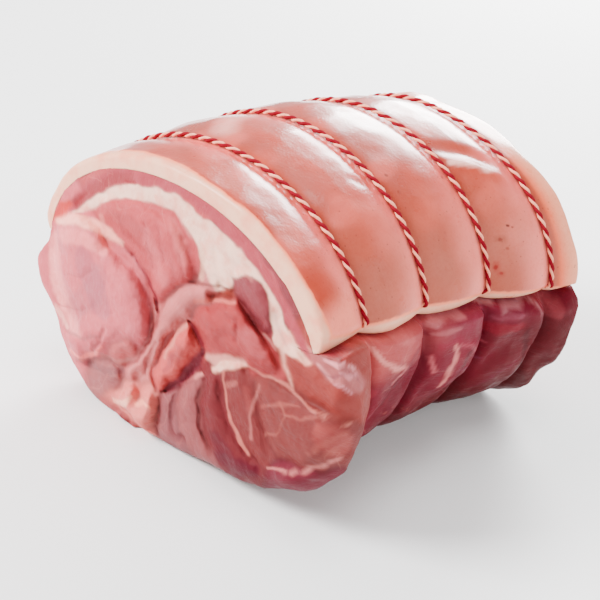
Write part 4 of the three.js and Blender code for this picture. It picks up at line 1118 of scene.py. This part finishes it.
def lean_material():
    s = Shader("lean_meat")
    place, fibre, calm = s.place(), s.attribute("fibre", "Vector"), s.attribute("calm")
    cloud = s.noise(place, 70, 4)
    mottle = s.noise(place, 230, 5, 0.65, 0.3)
    streak = s.math("MULTIPLY_ADD", s.centred(s.noise(fibre, 1.0, 5, 0.6, 0.4)), calm, 0.5)
    fine = s.math("MULTIPLY_ADD", s.centred(s.noise(fibre, 3.2, 4, 0.6)), calm, 0.5)
    colour = s.attribute("tint", "Color")
    for tone in ((cloud, 0.35, 0.7, 0.35, (1.12, 1.2, 1.18)),
                 (cloud, 0.5, 0.28, 0.4, (0.82, 0.68, 0.72)),
                 (streak, 0.55, 0.75, 0.4, (1.15, 1.5, 1.4)),
                 (streak, 0.45, 0.25, 0.5, (0.8, 0.6, 0.62)),
                 (fine, 0.55, 0.75, 0.4, (1.15, 1.6, 1.5)),
                 (mottle, 0.52, 0.72, 0.5, (1.12, 1.35, 1.35)),
                 (mottle, 0.48, 0.28, 0.5, (0.88, 0.74, 0.78))):
        colour = s.tone(colour, *tone)
    # Thin veins of fat, where the marbling says so
    vein = s.math("ABSOLUTE", s.centred(s.noise(place, 60, 2, 0.4, 0.6)))
    patchy = s.times(s.step(s.noise(place, 35, 2), 0.45, 0.65), s.attribute("marbling"))
    veins = s.times(s.step(vein, 0.016, 0.003), patchy)
    colour = s.mix(s.times(veins, 0.55), colour, rgba((232, 190, 182)))
    # Fat, with a slightly ragged edge
    uneven = s.times(s.centred(s.noise(place, 300, 5, 0.65)), 0.8)
    fat = s.step(s.math("ADD", s.attribute("fat"), uneven), 0.25, 0.8)
    fat_colour = s.mix(s.step(s.noise(place, 160, 4), 0.4, 0.7), rgba((246, 230, 222)), rgba((232, 194, 184)))
    colour = s.mix(s.times(fat, 0.7), colour, fat_colour)
    normal = s.bump(s.math("ADD", s.times(streak, 0.8), s.times(fine, 0.35)), 0.0009, 0.45)
    normal = s.bump(s.noise(place, 900, 3), 0.00018, 0.5, normal)
    rough = s.step(s.noise(place, 130, 3), 0.3, 0.7, 0.42, 0.62)
    return s.finish(Base_Color=colour, Roughness=rough, Normal=normal, Subsurface_Weight=0.15,
                    Subsurface_Scale=0.004, Subsurface_Radius=(1.0, 0.35, 0.25), Specular_IOR_Level=0.09)


def cap_material():
    s = Shader("rind_and_fat")
    place, depth, gloss = s.place(), s.attribute("depth"), s.attribute("gloss")
    speckle = s.noise(place, 800, 3, 0.7)
    rind = s.attribute("tint", "Color")
    for tone in ((s.noise(place, 60, 5, 0.6), 0.38, 0.7, 0.35, (1.08, 1.22, 1.25)),
                 (s.noise(place, 260, 4, 0.6), 0.5, 0.25, 0.4, (0.9, 0.74, 0.7)),
                 (speckle, 0.5, 0.3, 0.6, (0.93, 0.84, 0.8)),
                 (speckle, 0.52, 0.72, 0.5, (1.05, 1.12, 1.1))):
        rind = s.tone(rind, *tone)
    # Hair follicles, then freckles, in some of the cells of a random pattern
    for scale, channel, edge, core, least, sure, most, dark in (
            (420.0, "Red", 0.2, 0.08, 0.72, 0.8, 0.5, (150, 84, 70)),
            (120.0, "Green", 0.16, 0.04, 0.75, 0.85, 0.4, (168, 88, 72))):
        cells = s.node("TexVoronoi", {"Vector": place, "Scale": scale, "Randomness": 1.0})
        chosen = s.node("SeparateColor", {"Color": cells["Color"]})[channel]
        spot = s.times(s.step(cells["Distance"], edge, core), s.step(chosen, least, sure))
        rind = s.mix(s.times(spot, most), rind, rgba(dark, RIND_LIGHT))
    # Blemishes, at their places on the unrolled rind
    uneven = s.vector("MULTIPLY", s.noise(place, 260.0, output="Color", rough=0.5), (1.6, 1.6, 0.0))
    moved = s.vector("ADD", s.attribute("unrolled", "Vector"), uneven)
    for blemish, strength, radius, x, angle in RIND_SPOTS:
        away = s.vector("DISTANCE", moved, (x + 0.8, MM_PER_DEGREE * angle + 0.8, 0.0), "Value")
        rind = s.mix(s.step(away, radius + 0.3, radius * 0.4, 0.0, strength), rind, rgba(blemish, RIND_LIGHT))
    fat = s.mix(s.step(s.noise(place, 110, 4), 0.4, 0.72), rgba((240, 218, 206)), rgba((238, 204, 190)))
    cut = s.math("ADD", depth, s.times(s.centred(s.noise(place, 300, 3)), 1.2))
    under_skin = s.mix(s.step(cut, 1.2, 3.4), rgba((240, 192, 172)), fat)
    colour = s.mix(s.step(cut, 0.3, 1.5), rind, under_skin)
    pores = s.node("TexVoronoi", {"Vector": place, "Scale": 900.0})["Distance"]
    normal = s.bump(s.noise(place, 120, 3), 0.0009, 0.3)
    normal = s.bump(s.noise(place, 330, 5, 0.65, 0.5), 0.0005, 0.2, normal)
    normal = s.bump(pores, 0.00015, 0.25, normal)
    rough = s.step(s.noise(place, 90, 4), 0.3, 0.7, 0.27, 0.38)
    return s.finish(Base_Color=colour, Roughness=rough, Normal=normal, Subsurface_Weight=0.2,
                    Subsurface_Scale=0.004, Subsurface_Radius=(1.0, 0.45, 0.3), Coat_Roughness=0.18,
                    Coat_Weight=s.times(gloss, 0.75), Specular_IOR_Level=s.step(gloss, 0.0, 1.0, 0.1, 0.55))


def twine_material():
    s = Shader("twine")
    stretched = s.node("Mapping", {"Vector": s.attribute("strand", "Vector"), "Scale": (0.5, 3.0, 9.0)})
    fibres = s.noise(stretched["Vector"], 2.0, 4, 0.6)
    red = s.mix(fibres, rgba((184, 16, 62), RIND_LIGHT), rgba((218, 52, 88), RIND_LIGHT))
    white = s.mix(fibres, rgba((242, 200, 184), RIND_LIGHT), rgba((250, 224, 212), RIND_LIGHT))
    colour = s.mix(s.step(s.attribute("ply"), 0.45, 0.55), red, white)
    return s.finish(Base_Color=colour, Roughness=0.85, Normal=s.bump(fibres, 0.0002, 0.6),
                    Specular_IOR_Level=0.1)


def floor_material():
    s = Shader("pale_floor")
    colour = s.mix(s.noise(s.place(), 3, 2), (0.86, 0.86, 0.86, 1), (0.88, 0.88, 0.88, 1))
    return s.finish(Base_Color=colour, Roughness=0.7)


def add_light(name, place, target, size, energy):
    light = bpy.data.lights.new(name, "AREA")
    light.shape = "RECTANGLE"
    light.size, light.size_y = size
    light.energy = energy
    lamp = bpy.data.objects.new(name, light)
    lamp.location = place
    lamp.rotation_euler = (Vector(target) - Vector(place)).to_track_quat("-Z", "Y").to_euler()
    bpy.context.scene.collection.objects.link(lamp)


def build_studio():
    size = 4.0
    mesh = bpy.data.meshes.new("floor")
    corners = [(-size, -size, 0), (size, -size, 0), (size, size, 0), (-size, size, 0)]
    mesh.from_pydata(corners, [], [(0, 1, 2, 3)])
    floor = bpy.data.objects.new("floor", mesh)
    bpy.context.scene.collection.objects.link(floor)
    mesh.materials.append(floor_material())
    world = bpy.data.worlds.new("studio")
    world.use_nodes = True
    background = world.node_tree.nodes["Background"].inputs
    background["Color"].default_value = (1.0, 1.0, 1.0, 1)
    background["Strength"].default_value = 0.6
    bpy.context.scene.world = world
    add_light("key", (-0.80, 0.55, 0.80), (0, 0, 0.06), (0.45, 0.45), 44)
    add_light("window", (0.95, 0.40, 0.45), (0, 0, 0.08), (0.5, 0.6), 36)
    add_light("top", (-0.1, -0.1, 1.2), (0, 0, 0.08), (0.6, 0.6), 10)
    add_light("fill", (0.45, -1.1, 0.45), (0, 0, 0.05), (1.0, 0.8), 14)


def build_camera():
    azimuth, elevation, roll = (CAMERA[key] * degrees for key in ("azimuth", "elevation", "roll"))
    back = np.array([-math.sin(azimuth) * math.cos(elevation), -math.cos(azimuth) * math.cos(elevation),
                     math.sin(elevation)])
    level = np.array([math.cos(azimuth), -math.sin(azimuth), 0])
    rise = np.cross(back, level)
    right = level * math.cos(roll) + rise * math.sin(roll)
    up = rise * math.cos(roll) - level * math.sin(roll)
    place = (np.array(CAMERA["target"]) + ROLL_TO_PART + back * CAMERA["distance"]) * METRES
    camera = bpy.data.cameras.new("camera")
    camera.sensor_width = 36.0
    camera.lens = CAMERA["lens"]
    camera.clip_start = 0.01
    holder = bpy.data.objects.new("camera", camera)
    turn = Matrix(np.stack([right, up, back], 1).tolist()).to_4x4()
    holder.matrix_world = Matrix.Translation(place.tolist()) @ turn
    bpy.context.scene.collection.objects.link(holder)
    bpy.context.scene.camera = holder


build_meat(lean_material())
build_cap(cap_material())
twine = twine_material()
for ring in range(len(LOOP_X)):
    build_twine(ring, twine)
build_studio()
build_camera()

bpy.context.view_layer.update()
